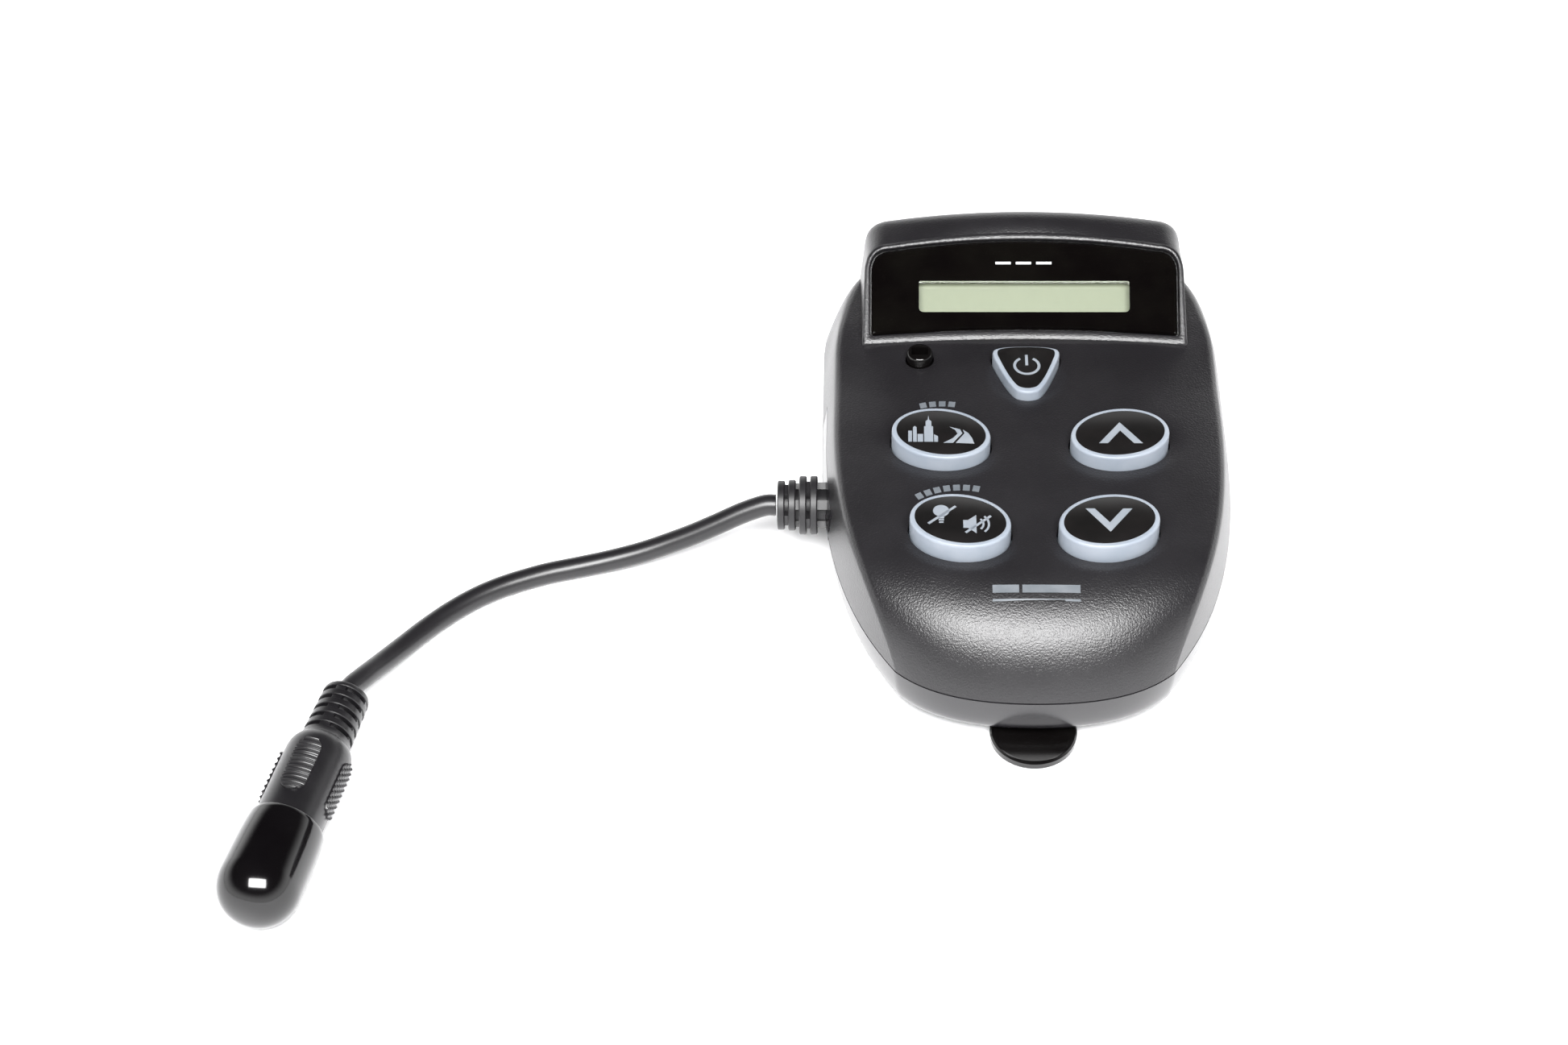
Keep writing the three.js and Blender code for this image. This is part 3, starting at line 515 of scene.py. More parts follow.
def upperPlace(column, row):
    along = rowShare(min(row, case["rows"]), case["rows"])
    step = column - panelHalf - sideColumns
    sign = -1 if step < 0 else 1
    step = abs(step)
    crease = creaseAt(along)
    facet = mix(2.1, 1.0, smooth(along, 0, 0.4)) / 37 * smooth(along, -0.02, 0.05)
    if step <= panelHalf:
        across = (crease - facet) * step / panelHalf
        x, y, fromEnd = planPoint(sign * across, along)
        z = panelHeight(x, y, fromEnd)
    else:
        bend = planPoint(sign * (crease - facet), along)
        edge = planPoint(sign * crease, along)
        edgeZ = panelHeight(*edge)
        foldZ = case["parting"] + (edgeZ - case["parting"]) * (1 - 1.1 * facet)
        if step <= panelHalf + facetColumns:
            t = (step - panelHalf) / facetColumns
            x, y, fromEnd = planPoint(sign * mix(crease - facet, crease, t), along)
            z = mix(panelHeight(*bend), foldZ, t * (0.75 + 0.25 * t))
        else:
            t = (step - panelHalf - facetColumns) / case["cheekColumns"]
            x, y, fromEnd = planPoint(sign * mix(crease, 1, t), along)
            z = case["parting"] + (foldZ - case["parting"]) * (1 - t ** 1.35)
    if row > case["rows"]:
        z = mix(z, case["parting"], (row - case["rows"]) / wallRows)
    return x, y, z


def innerPlace(column, row):  # the hollow: the same shape drawn in by the wall
    x, y, z = upperPlace(column * 4, row * 4)
    wall = case["wall"]
    rise = (z - case["parting"]) * (1 - wall / (case["crownZ"] - case["parting"]))
    return x * (1 - wall / case["halfWidth"]), y * (1 - wall / case["farY"]), case["parting"] + rise


def closeBelow(piece, drop):  # lower the open edge, and close it with one face
    choose(piece)
    bpy.ops.object.mode_set(mode="EDIT")
    pick(piece, "EDGE", lambda edge: edge.is_boundary)
    if drop:
        bpy.ops.mesh.extrude_edges_move(TRANSFORM_OT_translate={"value": (0, 0, -drop * mm)})
    bpy.ops.mesh.edge_face_add()
    bpy.ops.mesh.select_all(action="SELECT")
    bpy.ops.mesh.normals_make_consistent(inside=False)
    bpy.ops.object.mode_set(mode="OBJECT")


allColumns, allRows = case["panelColumns"] + 2 * sideColumns, case["rows"] + wallRows
upperCase = moulded("upper_case", allColumns, allRows, upperPlace, texturedAbs, recalculate=False)
closeBelow(upperCase, 1.0)
hollow = moulded("hollow", allColumns // 4, allRows // 4, innerPlace, texturedAbs, recalculate=False)
closeBelow(hollow, 2)
report("upper case sheet")

# ---- hood
hood = {
    "lensY": 31.3, "lensZ": 30, "tilt": 0.593, "base": 24, "crestY": 51, "top": 42,
    "back": [(51, 42), (55.8, 41.8), (56.4, 36)], "step": 0.15,
}
slopeCos, slopeSin = math.cos(hood["tilt"]), math.sin(hood["tilt"])


def onSlope(x, up, out):  # a point on the display's slope, out being off its face
    return (x, hood["lensY"] + up * slopeCos - out * slopeSin,
            hood["lensZ"] + up * slopeSin + out * slopeCos)


# An outline: foot corners, sides, upper corners and a bowed top and bottom, always the same count.
def outline(foot, side, cornerBend, corner, topBend, bottomBend, footRound):
    right = [(mix(foot[0], side[0], i / 14), mix(foot[1] + footRound, side[1], i / 14)) for i in range(14)]
    right += [bezier([side, cornerBend, corner], i / 12) for i in range(12)]
    right += [bezier([corner, (0, topBend), (-corner[0], corner[1])], i / 48) for i in range(24)]
    topMiddle = bezier([corner, (0, topBend), (-corner[0], corner[1])], 0.5)
    left = [(-x, y) for x, y in reversed(right)]
    footIn = (foot[0] - footRound, foot[1])
    turn = [bezier([(-foot[0], foot[1] + footRound), (-foot[0], foot[1]), (-footIn[0], footIn[1])], i / 5)
            for i in range(1, 5)]
    bottom = [bezier([(-footIn[0], footIn[1]), (0, bottomBend), footIn], i / 40) for i in range(41)]
    back = [(-x, y) for x, y in reversed(turn)]
    return right + [topMiddle] + left + turn + bottom + back


def lensOutline(grow):
    w, top = 30 + grow, 15.9 + grow
    return outline((w, -1.1 - grow), (w, 11.6), (w, top), (w - 4, top), 19.9 + grow, 1.1 - grow,
                   0.4 + max(0, grow))


def windowOutline(grow):
    w, low, high = 20.7 + grow, 3.45 - grow, 9.75 + grow
    return outline((w, low), (w, high - 0.5), (w, high), (w - 0.5, high), high, low, 1.0 + grow)


def bezelOutline(draw):
    w = 31.6 - draw
    return outline((w + 0.25, -3.4 + draw), (w - 0.2, 11.6), (w - 0.4, 17.1 - draw),
                   (26.5 - draw * 0.4, 17.3 - draw), 21.9 - draw, -1.2 + draw, 0.5)


archOutline = outline((32.4, hood["base"]), (31.4, 34.5), (30.9, 39.4), (26.5, 39.9), 44.1,
                      hood["base"], 0.5)
outlineCount = len(archOutline)


def farYAt(x):
    share = min(1, abs(x) / case["farCorner"][0])
    for _ in range(4):
        share = min(1, max(0, share + (abs(x) - bezier(farLine, share)[0]) / 33))
    return bezier(farLine, share)[1]


hoodRings = [[onSlope(x, y, -5.4) for x, y in windowOutline(1.0)],
             [onSlope(x, y, -1.65) for x, y in windowOutline(1.0)],
             [onSlope(x, y, -1.65) for x, y in lensOutline(0.3)],
             [onSlope(x, y, 0.0) for x, y in lensOutline(0.3)],
             [onSlope(x, y, 0.3) for x, y in lensOutline(0.42)],
             [onSlope(x, y, 0.4) for x, y in lensOutline(0.6)],
             [onSlope(x, y, 0.4) for x, y in bezelOutline(0.5)],
             [onSlope(x, y, 0.3) for x, y in bezelOutline(0.2)],
             [onSlope(x, y, 0.05) for x, y in bezelOutline(0.0)]]
frontRing = hoodRings[-1]
lowered = []
for i, (x, y, z) in enumerate(frontRing):
    bottomShare = 1 if i >= outlineCount - 49 else 0
    lowered.append((x, y, mix(z, hood["base"], bottomShare)))
hoodRings.append(lowered)
for s in (0.08, 0.2, 0.36, 0.56, 0.78, 1.0):
    ease = 1 - (1 - s) ** 2
    hoodRings.append([(mix(fx, ax, ease), mix(fy, hood["crestY"], s), mix(fz, az, ease))
                      for (fx, fy, fz), (ax, az) in zip(lowered, archOutline)])
for i in range(1, 9):
    q = i / 8
    y, top = bezier(hood["back"], q)
    stretch = (top - hood["base"]) / (hood["top"] - hood["base"])
    ring = []
    for ax, az in archOutline:
        x = ax * (1 - 0.045 * q ** 3)
        ring.append((x, y - (case["farY"] - farYAt(x)) * q, hood["base"] + (az - hood["base"]) * stretch))
    hoodRings.append(ring)
for f in (0.8, 0.5, 0.2):
    hoodRings.append([(x * f, farYAt(x * f) - hood["step"], 28 + (z - 28) * f) for x, y, z in hoodRings[-1]])
hoodRings.insert(0, [onSlope(x * 0.5, mix(6.6, y, 0.5), -5.4) for x, y in windowOutline(1.0)])


def hoodPlace(column, row):
    return hoodRings[row][column % outlineCount]


hoodBlock = moulded("hood_block", outlineCount, len(hoodRings) - 1, hoodPlace, texturedAbs)
fillEnds(hoodBlock)
report("hood")

# the tongue of the lower case, taken from the same cheek before the upper case is cut
tongueFrom, tongueTo, tongueTop = case["tongue"]
tongue = twin(upperCase)
tongue.name = tongue.data.name = "case_tongue"
carve(tongue, block(*case["tongueX"], tongueFrom, tongueTo, case["parting"] - 1, tongueTop), "INTERSECT")

carve(upperCase, hoodBlock, "UNION")
carve(tongue, twin(hollow))
carve(upperCase, hollow)


# ---- key outlines
def ovalOutline(grow):
    return [((keys["halfLong"] + grow) * math.cos(i * math.pi / 48),
             (keys["halfShort"] + grow) * math.sin(i * math.pi / 48)) for i in range(96)]


def powerOutline(grow):
    w, up, down = [size + grow for size in keys["powerSize"]]
    path = [(0, up), (w * 0.75, up), (w * 0.93, up - 0.9), (w * 1.04, up - 1.6), (w * 0.93, up - 3.6),
            (w * 0.55, -down * 0.72), (w * 0.3, -down * 0.92), (0, -down * 1.08)]
    right = [bezier([path[0], path[1], path[2]], i / 10) for i in range(10)]
    right += [bezier([path[2], path[3], path[4]], i / 10) for i in range(10)]
    right += [bezier([path[4], path[5], path[6]], i / 16) for i in range(16)]
    tip = bezier([path[6], path[7], (-path[6][0], path[6][1])], 0.5)
    right += [bezier([path[6], path[7], (-path[6][0], path[6][1])], i / 24) for i in range(12)]
    left = [(-x, y) for x, y in reversed(right[1:])]
    return list(reversed(right + [tip] + left))


def keyOutline(name, grow):
    return powerOutline(grow) if name == "power" else ovalOutline(grow)


def keyMatrix(name):
    x, y, _, turn = keys[name]
    return Matrix.Translation((x * mm, y * mm, 0)) @ Matrix.Rotation(turn, 4, "Z")


cutters = []
for name in ovalNames + ("power",):
    cutter = stacked("key_hole", keyOutline(name, keys["gap"]), [(1, 20), (1, 40)], texturedAbs)
    cutters.append(settle(cutter, matrix=keyMatrix(name)))
cutters.append(rod(sensor["x"], sensor["y"], 20, 40, sensor["radius"] + 0.3))
cutters.append(block(-60, 60, -70, 70, 0, case["parting"] + case["gap"] / 2))
tongueGap = case["tongueGap"]
cutters.append(block(*case["tongueX"], tongueFrom - tongueGap, tongueTo + tongueGap,
                     case["parting"] + 1, tongueTop + tongueGap))
for cutter in cutters:
    carve(upperCase, cutter)
opening = {
    "laser": (-15, 15, 51, 60, 16.6, 23.6),  # the slot in the far wall
    "pocket": (-27, 27, -2, 14.5, -14, -2.9),  # room for the display, on the slope
    "cavity": (-28, 28, 43, 54.2, 20, 37),  # the hollow behind it
}
carve(upperCase, block(*opening["laser"]))
pocket = block(*opening["pocket"])
pocket.matrix_world = (Matrix.Translation((0, hood["lensY"] * mm, hood["lensZ"] * mm))
                       @ Matrix.Rotation(hood["tilt"], 4, "X"))
carve(upperCase, pocket)
carve(upperCase, block(*opening["cavity"]))
settle(upperCase, 32)
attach(upperCase, "case")
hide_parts("front_shell")
report("upper case %d faces" % len(upperCase.data.polygons))

# ---- lower case
lowerLevels = [(4.3, 2.9), (4.36, 2.4), (4.6, 1.95), (5.1, 1.5), (5.9, 1.15), (7, 0.85), (8.3, 0.6),
               (10, 0.34), (11.6, 0.15), (13.05, 0)]
ringHalf = ([(i / 26, 0) for i in range(26)] + [(1, rowShare(i, 76)) for i in range(76)]
            + [(1 - i / 22, 1) for i in range(22)])
ringPlan = [planPoint(across, along)[:2] for across, along in ringHalf] + [(0, case["farY"])]
ringPlan += [(-x, y) for x, y in reversed(ringPlan[1:-1])]


def lowerPlace(column, row):
    x, y = ringPlan[column % len(ringPlan)]
    z, inset = lowerLevels[row]
    return x * (1 - inset / case["halfWidth"]), y * (1 - inset / case["farY"]), z


lowerCase = moulded("lower_case", len(ringPlan), len(lowerLevels) - 1, lowerPlace, satinAbs)
choose(lowerCase)
bpy.ops.object.mode_set(mode="EDIT")
pick(lowerCase, "EDGE", lambda edge: edge.is_boundary and edge.verts[0].co.z < 5 * mm)
bpy.ops.mesh.edge_face_add()
bpy.ops.mesh.select_all(action="SELECT")
bpy.ops.mesh.normals_make_consistent(inside=False)
bpy.ops.object.mode_set(mode="OBJECT")
modify(lowerCase, "SOLIDIFY", thickness=case["wall"] * mm, offset=-1, use_even_offset=False)
screws = {"spots": [(-26, -28), (26, -28), (-29.5, 34), (29.5, 34)], "sink": (3, 6.29), "radius": 3}
exitY, exitZ, exitRadius = case["exit"]
for x, y in screws["spots"]:
    carve(lowerCase, rod(x, y, *screws["sink"], screws["radius"]))
exitHole = axle(-38, exitY, exitZ, 14, exitRadius, 64)
exitTwin = twin(exitHole)
carve(lowerCase, exitHole)
carve(tongue, exitTwin)
lowerCase = joined([lowerCase, tongue], "lower_case", satinAbs)
settle(lowerCase, 30)
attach(lowerCase, "case")
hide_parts("rear_shell")
report("lower case")

# ---- display lens: a frame with a bevelled edge, and a clear window let into it
lensRings = [[onSlope(x, y, -1.3) for x, y in lensOutline(0)],
             [onSlope(x, y, -0.4) for x, y in lensOutline(0)],
             [onSlope(x, y, 0.0) for x, y in lensOutline(-0.42)],
             [onSlope(x, y, 0.0) for x, y in windowOutline(0)],
             [onSlope(x, y, -1.3) for x, y in windowOutline(0)]]
lensRings.append(lensRings[0])
lensFrame = moulded("display_lens_frame", outlineCount, len(lensRings) - 1,
                    lambda column, row: lensRings[row][column % outlineCount], pianoBlack)
settle(lensFrame, 20)
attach(lensFrame, "case")
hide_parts("display_lens")

windowRings = [[onSlope(x * s, mix(6.6, y, s), out) for x, y in windowOutline(-0.02)]
               for s, out in ((0.3, -0.9), (1, -0.9), (1, -0.02), (0.3, -0.02))]
lensWindow = moulded("display_window", outlineCount, 3,
                     lambda column, row: windowRings[row][column % outlineCount], clearAcrylic)
fillEnds(lensWindow)
settle(lensWindow, 20)
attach(lensWindow, "case")
report("display")


# ---- flat printed signs: closed outlines filled as one thin film
def arcBand(x, y, radius, width, start, end, steps=28):
    angles = [math.radians(mix(start, end, i / steps)) for i in range(steps + 1)]
    outer = [(x + (radius + width / 2) * math.cos(a), y + (radius + width / 2) * math.sin(a)) for a in angles]
    inner = [(x + (radius - width / 2) * math.cos(a), y + (radius - width / 2) * math.sin(a)) for a in angles]
    return outer + inner[::-1]


def bar(x0, y0, x1, y1, width):
    length = math.dist((x0, y0), (x1, y1))
    nx, ny = (y0 - y1) / length * width / 2, (x1 - x0) / length * width / 2
    steps = max(1, round(length))
    middle = [(mix(x0, x1, i / steps), mix(y0, y1, i / steps)) for i in range(steps + 1)]
    return [(x + nx, y + ny) for x, y in middle] + [(x - nx, y - ny) for x, y in reversed(middle)]


def disc(x, y, radius, steps=28):
    return [(x + radius * math.cos(2 * math.pi * i / steps), y + radius * math.sin(2 * math.pi * i / steps))
            for i in range(steps)]


def printed(name, outlines, thickness, material):
    deselect()
    pieces = []
    for points in outlines:
        film = bpy.data.curves.new(name, "CURVE")
        film.dimensions = "2D"
        film.fill_mode = "BOTH"
        film.extrude = thickness * mm / 2
        spline = film.splines.new("POLY")
        spline.points.add(len(points) - 1)
        for point, (x, y) in zip(spline.points, points):
            point.co = (x * mm, y * mm, 0, 1)
        spline.use_cyclic_u = True
        piece = bpy.data.objects.new(name, film)
        bpy.context.collection.objects.link(piece)
        choose(piece)
        bpy.ops.object.convert(target="MESH")
        pieces.append(bpy.context.object)
    piece = joined(pieces, name, material)
    weld(piece)
    return piece


# ---- keys: silicone body with a soft rim, a printed black face, and its sign
keyBody = {"foot": 24.2, "flange": 0.8, "stem": 1.6, "stemFoot": 19.6, "rim": 0.92, "film": 0.05}
signs = {
    "up": [[(-4.1, -2.9), (0, 2.8), (4.1, -2.9), (2.45, -2.9), (0, 0.55), (-2.45, -2.9)]],
    "down": [[(-4.3, 2.9), (-2.6, 2.9), (0, -0.7), (2.6, 2.9), (4.3, 2.9), (0, -3.1)]],
    "power": [arcBand(0, 0.5, 2.35, 0.55, 122, 418, 44), bar(0, 0.6, 0, 3.6, 0.55)],
    "mode": [
        [(-6.2, -2.6), (-6.2, 0.4), (-5.5, 0.4), (-5.5, -2.6)],
        [(-5.3, -2.6), (-5.3, 1.3), (-4.95, 1.7), (-4.6, 1.3), (-4.6, -2.6)],
        [(-4.45, -2.6), (-4.45, -0.5), (-3.4, -0.5), (-3.4, -2.6)],
        [(-3.2, -2.6), (-3.2, 1.6), (-2.9, 1.6), (-2.9, 3.0), (-2.5, 3.4), (-2.35, 4.6), (-2.2, 3.4),
         (-1.8, 3.0), (-1.8, 1.6), (-1.5, 1.6), (-1.5, -2.6)],
        [(-1.35, -2.6), (-1.35, -0.6), (-0.6, -1.1), (-0.6, -2.6)],
        [(0.4, -2.9), (2.2, -1.6), (3.1, -0.4), (2.7, 0.6), (1.6, 1.5), (3.6, 0.8), (4.0, -0.3), (3.0, -1.7),
         (2.2, -2.9)],
        [(2.7, -2.9), (3.5, -1.7), (4.4, -0.3), (4.1, 0.7), (5.1, -0.2), (5.8, -1.6), (6.2, -3.1)],
    ],
    "backlight": [
        disc(-3.5, 2.2, 1.5), [(-4.1, 1.0), (-2.9, 1.0), (-3.0, 0.2), (-4.0, 0.2)],
        bar(-4.0, -0.15, -3.0, -0.15, 0.35), bar(-3.9, -0.75, -3.1, -0.75, 0.35),
        bar(-5.9, -1.1, -0.8, 3.4, 0.5),
        [(0.5, -0.2), (0.5, -2.2), (1.4, -2.2), (2.9, -3.6), (2.9, 1.1), (1.4, -0.2)],
        arcBand(2.4, -1.2, 1.8, 0.4, -45, 45, 14), arcBand(2.4, -1.2, 2.8, 0.4, -45, 45, 16),
        bar(0.9, -3.4, 5.6, 0.9, 0.5),
    ],
}
for name in ovalNames + ("power",):
    x, y, top, turn = keys[name]
    body, node = name + "_button", name + "_key"
    shape = keyOutline(name, 0)
    small = min(keys["powerSize"]) if name == "power" else keys["halfShort"]
    foot = keyBody["foot"]
    flange = 1 + 0.9 / small
    key = stacked(name + "_key_cap", shape, [
        (0.96, foot + 0.4), (1, foot + 0.41), (1, top - 0.6), (1 - 0.05 / small, top - 0.3),
        (1 - 0.14 / small, top - 0.12), (1 - 0.3 / small, top - 0.02), (1 - 0.42 / small, top)], keySilicone)
    skirt = stacked("skirt", shape, [(flange, foot), (flange, foot + keyBody["flange"])], keySilicone)
    stem = rod(0, 0, keyBody["stemFoot"], foot + 0.2, keyBody["stem"], 32)
    key = settle(joined([key, skirt, stem], name + "_key_cap", keySilicone), 40, keyMatrix(name))
    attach(key, body)
    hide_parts(node)

    rim = keyBody["rim"]
    if name == "power":
        faceShape = [(px * (1 - 0.95 / 6.6), py * (1 - 0.8 / 6.8) + 0.35) for px, py in powerOutline(0)]
    else:
        faceShape = ovalOutline(-rim)
    film = keyBody["film"]
    face = stacked(name + "_face", faceShape, [(1, top - 0.1), (1, top + film * 0.6),
                                               (1 - 0.04 / small, top + film)], keyInk)
    settle(face, 30, keyMatrix(name))
    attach(face, body)

    sign = printed(name + "_sign", signs[name], 0.06, keySilicone)
    settle(sign, 30, Matrix.Translation((x * mm, y * mm, (top + film) * mm)))
    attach(sign, body)
report("keys")

# ---- plain printed marks where the real one carries words
marks = {"lift": 0.07, "thick": 0.04}


def laidOnPanel(name, outlines, material):
    piece = printed(name, outlines, marks["thick"], material)
    for vertex in piece.data.vertices:
        x, y, z = vertex.co / mm
        vertex.co.z = (panelAt(x, y) + marks["lift"] + z) * mm
    settle(piece, 30)
    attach(piece, "case")
    return piece


def dashArc(centre, radiusX, radiusY, start, end, count, share, width):
    dashes = []
    edges = (0.5 - share / 2, 0.5 + share / 2)
    for i in range(count):
        pair = [math.radians(mix(start, end, (i + edge) / count)) for edge in edges]
        points = [(centre[0] + radiusX * math.cos(a), centre[1] + radiusY * math.sin(a)) for a in pair]
        dashes.append(bar(*points[0], *points[1], width))
    return dashes


laidOnPanel("mode_mark", dashArc((-16.9, -0.7), 13.2, 10.9, 108, 76, 4, 0.7, 1.5), greyInk)
laidOnPanel("backlight_mark", dashArc((-13.65, -23.8), 13.2, 10.9, 128, 72, 7, 0.7, 1.5), greyInk)
laidOnPanel("panel_mark", [bar(-8, -37.2, -3.2, -37.2, 1.5), bar(-2.6, -37.2, 7.9, -37.2, 1.5),
                           bar(-8, -39.3, 7.9, -39.3, 0.4)], greyInk)
lensMark = printed("lens_mark", [bar(-5.6, 13.4, -2.6, 13.4, 0.5), bar(-1.6, 13.4, 1.4, 13.4, 0.5),
                                 bar(2.4, 13.4, 5.4, 13.4, 0.5)], 0.03, whiteInk)
settle(lensMark, 30, Matrix.Translation((0, hood["lensY"] * mm, hood["lensZ"] * mm))
       @ Matrix.Rotation(hood["tilt"], 4, "X") @ Matrix.Translation((0, 0, 0.02 * mm)))
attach(lensMark, "case")
report("marks")

# ---- light sensor's boot
bootRadius, bootTop = sensor["radius"], sensor["top"]
boot = turned("sensor_post", [
    (3.4, 22), (3.4, 23.6), (bootRadius, 23.6), (bootRadius, bootTop - 0.7),
    (bootRadius - 0.05, bootTop - 0.3), (bootRadius - 0.2, bootTop - 0.08), (bootRadius - 0.4, bootTop)],
    64, glossAbs)
settle(boot, 35, Matrix.Translation((sensor["x"] * mm, sensor["y"] * mm, 0)))
carve(boot, block(sensor["x"] - 1.6, sensor["x"] + 1.6, sensor["y"] - 0.9, sensor["y"] + 1.2, 28.2, 40))
settle(boot, 35)
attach(boot, "case")
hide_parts("sensor_boot")

# ---- thumb latch
latch = {"y": -48.5, "radius": 8.05, "low": 0.3, "high": 2.1, "half": 4.6, "bladeEnd": -26,
         "hinge": (-24, 1.7), "knuckle": 1.35, "knuckleX": -1.8, "knuckleLong": 5.6, "pinHole": 0.75}
tabRadius, tabLow, tabHigh = latch["radius"], latch["low"], latch["high"]
tab = turned("thumb_tab", [
    (tabRadius - 0.3, tabLow), (tabRadius, tabLow + 0.25), (tabRadius, tabHigh - 0.45),
    (tabRadius - 0.3, tabHigh - 0.1), (tabRadius - 0.65, tabHigh)], 96, glossAbs)
settle(tab, 30, Matrix.Translation((0, latch["y"] * mm, 0)))
hingeY, hingeZ = latch["hinge"]
bladeTop = tabHigh - 0.05
blade = block(-latch["half"], latch["half"], latch["y"], latch["bladeEnd"], tabLow + 0.05, bladeTop)
carve(tab, blade, "UNION")
carve(tab, block(-latch["half"], 1.0, latch["bladeEnd"] - 1, hingeY, 0.5, bladeTop), "UNION")
carve(tab, axle(latch["knuckleX"], hingeY, hingeZ, latch["knuckleLong"], latch["knuckle"], 48), "UNION")
carve(tab, axle(0, hingeY, hingeZ, 20, latch["pinHole"], 32))
settle(tab, 30)
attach(tab, "latch")
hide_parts("release_latch")
report("boot and latch")

# ---- strain relief where the lead leaves the case
gland = {"discs": [(40.35, 5.65), (42.45, 5.65), (44.55, 4.9), (46.65, 4.75)], "thick": 1.4, "neck": 3.2,
         "end": 48.05}
glandNeck = gland["neck"]
glandProfile = [(4.6, 34.2), (4.6, 35.6), (glandNeck, 35.6)]  # the flange inside the case
for start, radius in gland["discs"]:
    end = start + gland["thick"]
    glandProfile += [(glandNeck, start), (radius - 0.22, start), (radius, start + 0.2),
                     (radius, end - 0.2), (radius - 0.22, end), (glandNeck, end)]
glandProfile = glandProfile[:-1] + [(2.3, gland["end"])]
relief = turned("strain_relief", glandProfile, 64, glandRubber)
square, diagonal = (0, 90, 180, 270), (45, 135, 225, 315)
webs = []
for turns, half, height, first, last in (
        (square, 1.3, 5.1, 41.6, 42.6), (square, 1.3, 4.25, 45.8, 46.8),
        (diagonal, 0.9, 4.2, 43.7, 44.7), (diagonal, 0.9, 4.4, 38.2, 40.5)):
    for turn in turns:
        web = block(-half, half, 0, height, first, last)
        web.rotation_euler = (0, 0, math.radians(turn))
        webs.append(web)
relief = joined([relief] + webs, "strain_relief", glandRubber)
glandTurn = Matrix(((0, 0, -1), (0, 1, 0), (1, 0, 0))).to_4x4()
settle(relief, 30, Matrix.Translation((0, exitY * mm, exitZ * mm)) @ glandTurn)
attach(relief, "case")
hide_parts("cable_gland")

# ---- plug on the end of the lead, made upright and then laid along its axis
plug = {"x": -126.85, "y": -45.87, "z": 7.65, "heading": 2.9225, "reliefEnd": 12.6, "core": 3.5,
        "barrel": 6.2, "barrelEnd": 37.4, "padPitch": 0.82, "knurl": 0.66}
plugMatrix = (Matrix.Translation((plug["x"] * mm, plug["y"] * mm, plug["z"] * mm))
              @ Matrix.Rotation(plug["heading"], 4, "Z") @ Matrix.Rotation(-math.pi / 2, 4, "X"))
plugProfile = [(3.9, 0), (4.28, 0.1), (4.4, 0.35)]
for i in range(5):
    start = 1.1 + i * 2.27
    radius = 4.4 + 0.35 * start / plug["reliefEnd"]
    plugProfile += [(radius, start - 0.12), (radius - 0.12, start), (plug["core"], start + 0.02),
                    (plug["core"], start + 0.9), (radius - 0.12, start + 0.92), (radius, start + 1.04)]
plugProfile += [(4.75, 12.3), (4.95, 12.6), (5.35, 13.1), (5.75, 13.75), (6.03, 14.6), (6.17, 15.6),
                (plug["barrel"], 16.6), (plug["barrel"], plug["barrelEnd"] - 0.4), (5.8, plug["barrelEnd"])]
plugBody = turned("plug_moulding", plugProfile, 96, plugPvc)
spines = []
for turn in (0, 90, 180, 270):
    spine = block(-1.0, 1.0, 2.6, 4.3, 0.6, 12.4)
    modify(spine, "BEVEL", width=0.25 * mm, segments=2)
    spine.rotation_euler = (0, 0, math.radians(turn))
    spines.append(spine)


def padPlace(turn, knurled):
    half, reach = 2.5, 6.2

    def place(column, row):
        v = mix(-reach, reach, row / 110)
        over = abs(v) - (reach - half)
        width = half if over <= 0 else math.sqrt(max(0, half ** 2 - over ** 2))
        u = mix(-width, width, column / 34)
        edge = min(1, (width - abs(u)) / 0.25) if width > 0 else 0
        wave = 0.5 + 0.5 * math.cos(2 * math.pi * v / plug["padPitch"])
        if knurled:
            wave = (0.5 + 0.5 * math.cos(math.pi * (u + v) / plug["knurl"])) \
                * (0.5 + 0.5 * math.cos(math.pi * (u - v) / plug["knurl"]))
        lift = -0.4 + edge * (0.62 + 0.38 * wave)
        angle = turn + u / plug["barrel"]
        radius = plug["barrel"] + lift
        return radius * math.cos(angle), radius * math.sin(angle), 22 + v
    return place


pads = []
for i in range(4):
    pad = moulded("pad", 34, 110, padPlace(math.radians(90 * i), i % 2 == 0), plugPvc, recalculate=False)
    modify(pad, "SOLIDIFY", thickness=0.8 * mm, offset=-1)
    weld(pad)
    pads.append(pad)
plugBody = joined([plugBody] + spines + pads, "plug_moulding", plugPvc)
settle(plugBody, 32, plugMatrix)
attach(plugBody, "case")
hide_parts("plug_body")

cap = {"mouth": 32, "radius": 7.6, "bore": 6.55, "dome": 45.2, "domeLong": 7.3, "boreEnd": 45.6,
       "boreDome": 5.7, "domeSquare": 0.82}
capRadius, bore = cap["radius"], cap["bore"]
capProfile = [(0.4, cap["dome"] + cap["domeLong"])]
for i in range(1, 12):  # the dome, from near its tip
    angle = math.pi / 2 * (1 - i / 12)
    capProfile.append((max(0.3, capRadius * math.cos(angle) ** cap["domeSquare"]),
                       cap["dome"] + cap["domeLong"] * math.sin(angle)))
capProfile += [(capRadius, cap["dome"]), (7.58, 42), (7.5, 38), (7.36, 35), (7.2, 33), (7.1, 32.35),
               (6.95, 32.08), (6.75, cap["mouth"]), (bore, 32.15), (bore, cap["boreEnd"])]
for i in range(1, 9):
    angle = math.pi / 2 * i / 9
    capProfile.append((bore * math.cos(angle), cap["boreEnd"] + cap["boreDome"] * math.sin(angle)))
plugCap = turned("vinyl_cap", capProfile, 96, capVinyl)
settle(plugCap, 40, plugMatrix)
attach(plugCap, "cap")
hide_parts("plug_cap")
report("plug")

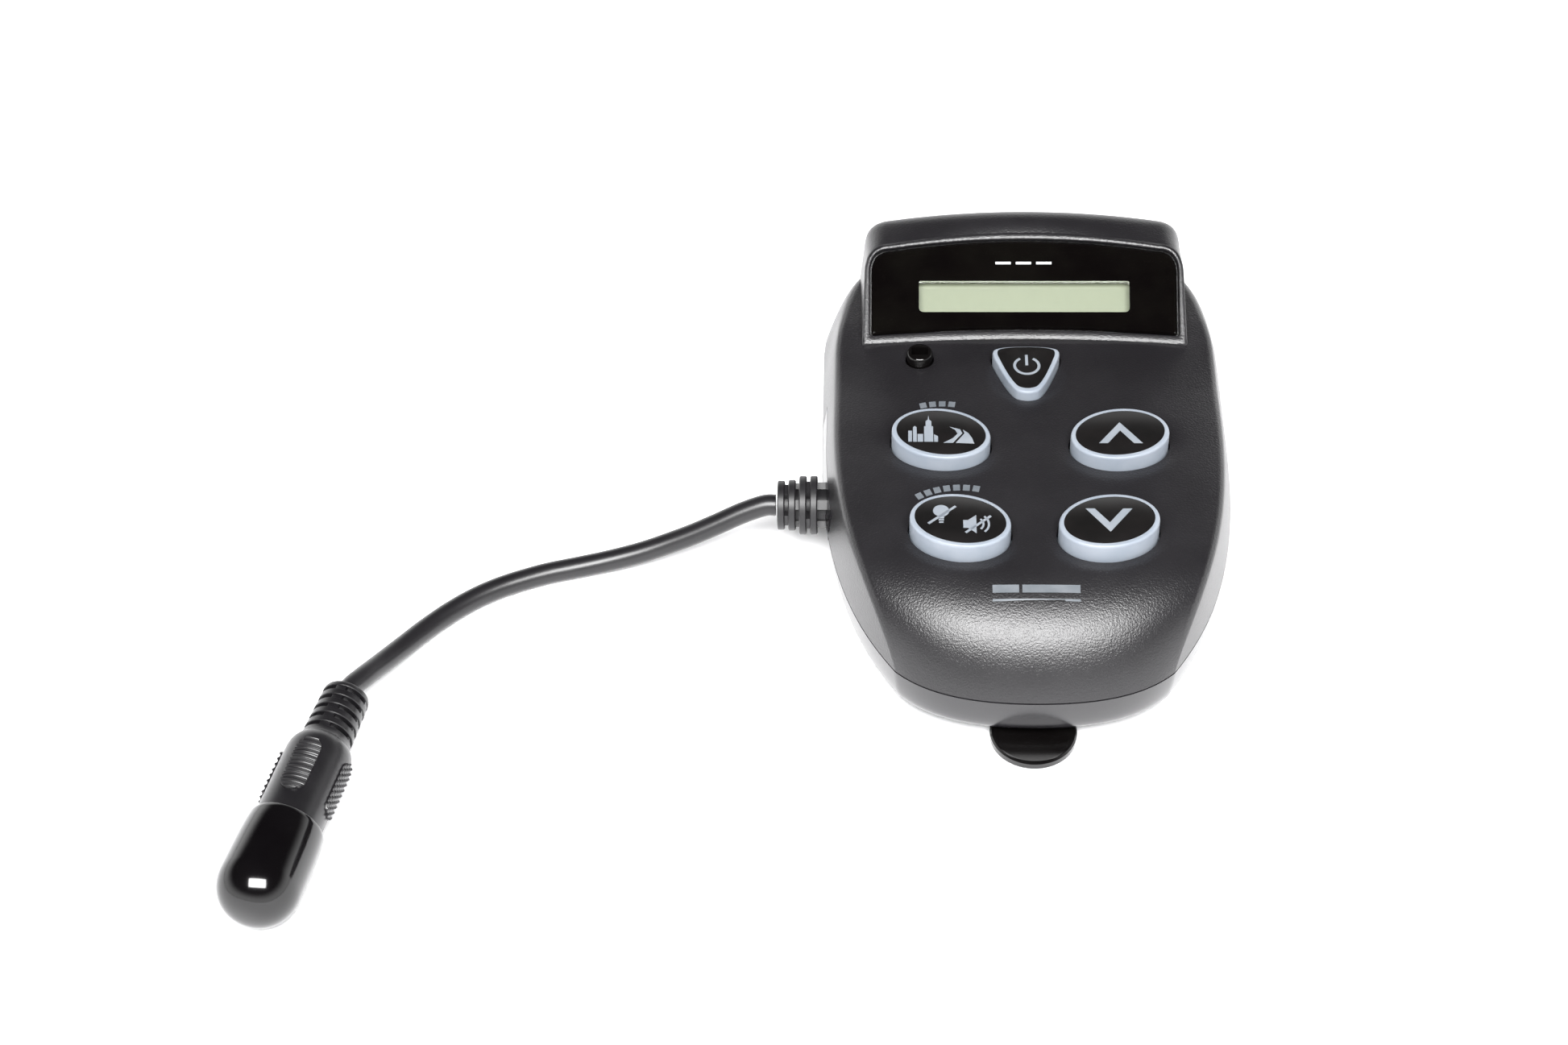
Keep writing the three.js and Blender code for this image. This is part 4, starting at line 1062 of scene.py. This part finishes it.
# ---- finishes of the CAD nodes that show as they are
nodeFinish = {
    "shell_gasket": matSilicone, "lcd_glass": lcdPanel, "lcd_carrier": whiteNylon, "keypad_mat": matSilicone,
    "light_sensor": smokedAcrylic, "main_board": solderMask, "antenna_horn": castZinc,
    "laser_detector": switchNylon, "laser_window": smokedAcrylic, "buzzer": switchNylon,
    "lead_connector": whiteNylon, "mount_plate": satinAbs, "latch_pin": zincSteel, "latch_spring": zincSteel,
    "plug_shell": zincSteel, "plug_insert": whiteNylon,
}
for nodeName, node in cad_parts.items():
    material = nodeFinish.get(nodeName)
    if "screw" in nodeName:
        material = zincSteel
    elif "plug_pin" in nodeName:
        material = goldPlate
    elif "switch" in nodeName:
        material = switchNylon
    if material is not None:
        for slot in node.material_slots:
            slot.material = material

# ---- floor, light and world
deselect()
bpy.ops.mesh.primitive_plane_add(size=room["floor"])
floor = bpy.context.object
floor.name = "floor"
floorPaint, floorShader = newMaterial("paleTable", {"Roughness": 0.6, "Specular IOR Level": 0.15})
floorShader.inputs["Base Color"].default_value = linear("f4f4f5")
floor.data.materials.append(floorPaint)

softbox = bpy.data.lights.new("softbox", "AREA")
softbox.shape = "RECTANGLE"
softbox.size, softbox.size_y = room["softbox"]
softbox.energy = room["softboxPower"]
softboxLamp = bpy.data.objects.new("softbox", softbox)
softboxLamp.location = room["softboxAt"]
softboxLamp.rotation_euler = (-Vector(room["softboxAt"])).to_track_quat("-Z", "Y").to_euler()
bpy.context.collection.objects.link(softboxLamp)

fill = bpy.data.lights.new("fill", "AREA")  # evens out the table, and isn't mirrored in anything
fill.size = room["fill"]
fill.energy = room["fillPower"]
fillLamp = bpy.data.objects.new("fill", fill)
fillLamp.location = room["fillAt"]
fillLamp.visible_glossy = False
bpy.context.collection.objects.link(fillLamp)

world = bpy.data.worlds.new("room")
bpy.context.scene.world = world
world.use_nodes = True
worldPlace = addNode(world, "ShaderNodeTexCoord")
worldUp = addNode(world, "ShaderNodeSeparateXYZ", None, {"Vector": worldPlace.outputs["Generated"]})
worldFade = addNode(world, "ShaderNodeMapRange",
                    {"From Min": room["fadeFrom"], "From Max": room["fadeTo"],
                     "To Min": room["horizon"], "To Max": room["ceiling"]},
                    {"Value": worldUp.outputs["Z"]}, interpolation_type="SMOOTHSTEP")
world.node_tree.links.new(worldFade.outputs["Result"], world.node_tree.nodes["Background"].inputs["Strength"])
world.node_tree.nodes["Background"].inputs["Color"].default_value = (1, 1, 1, 1)
report("room")
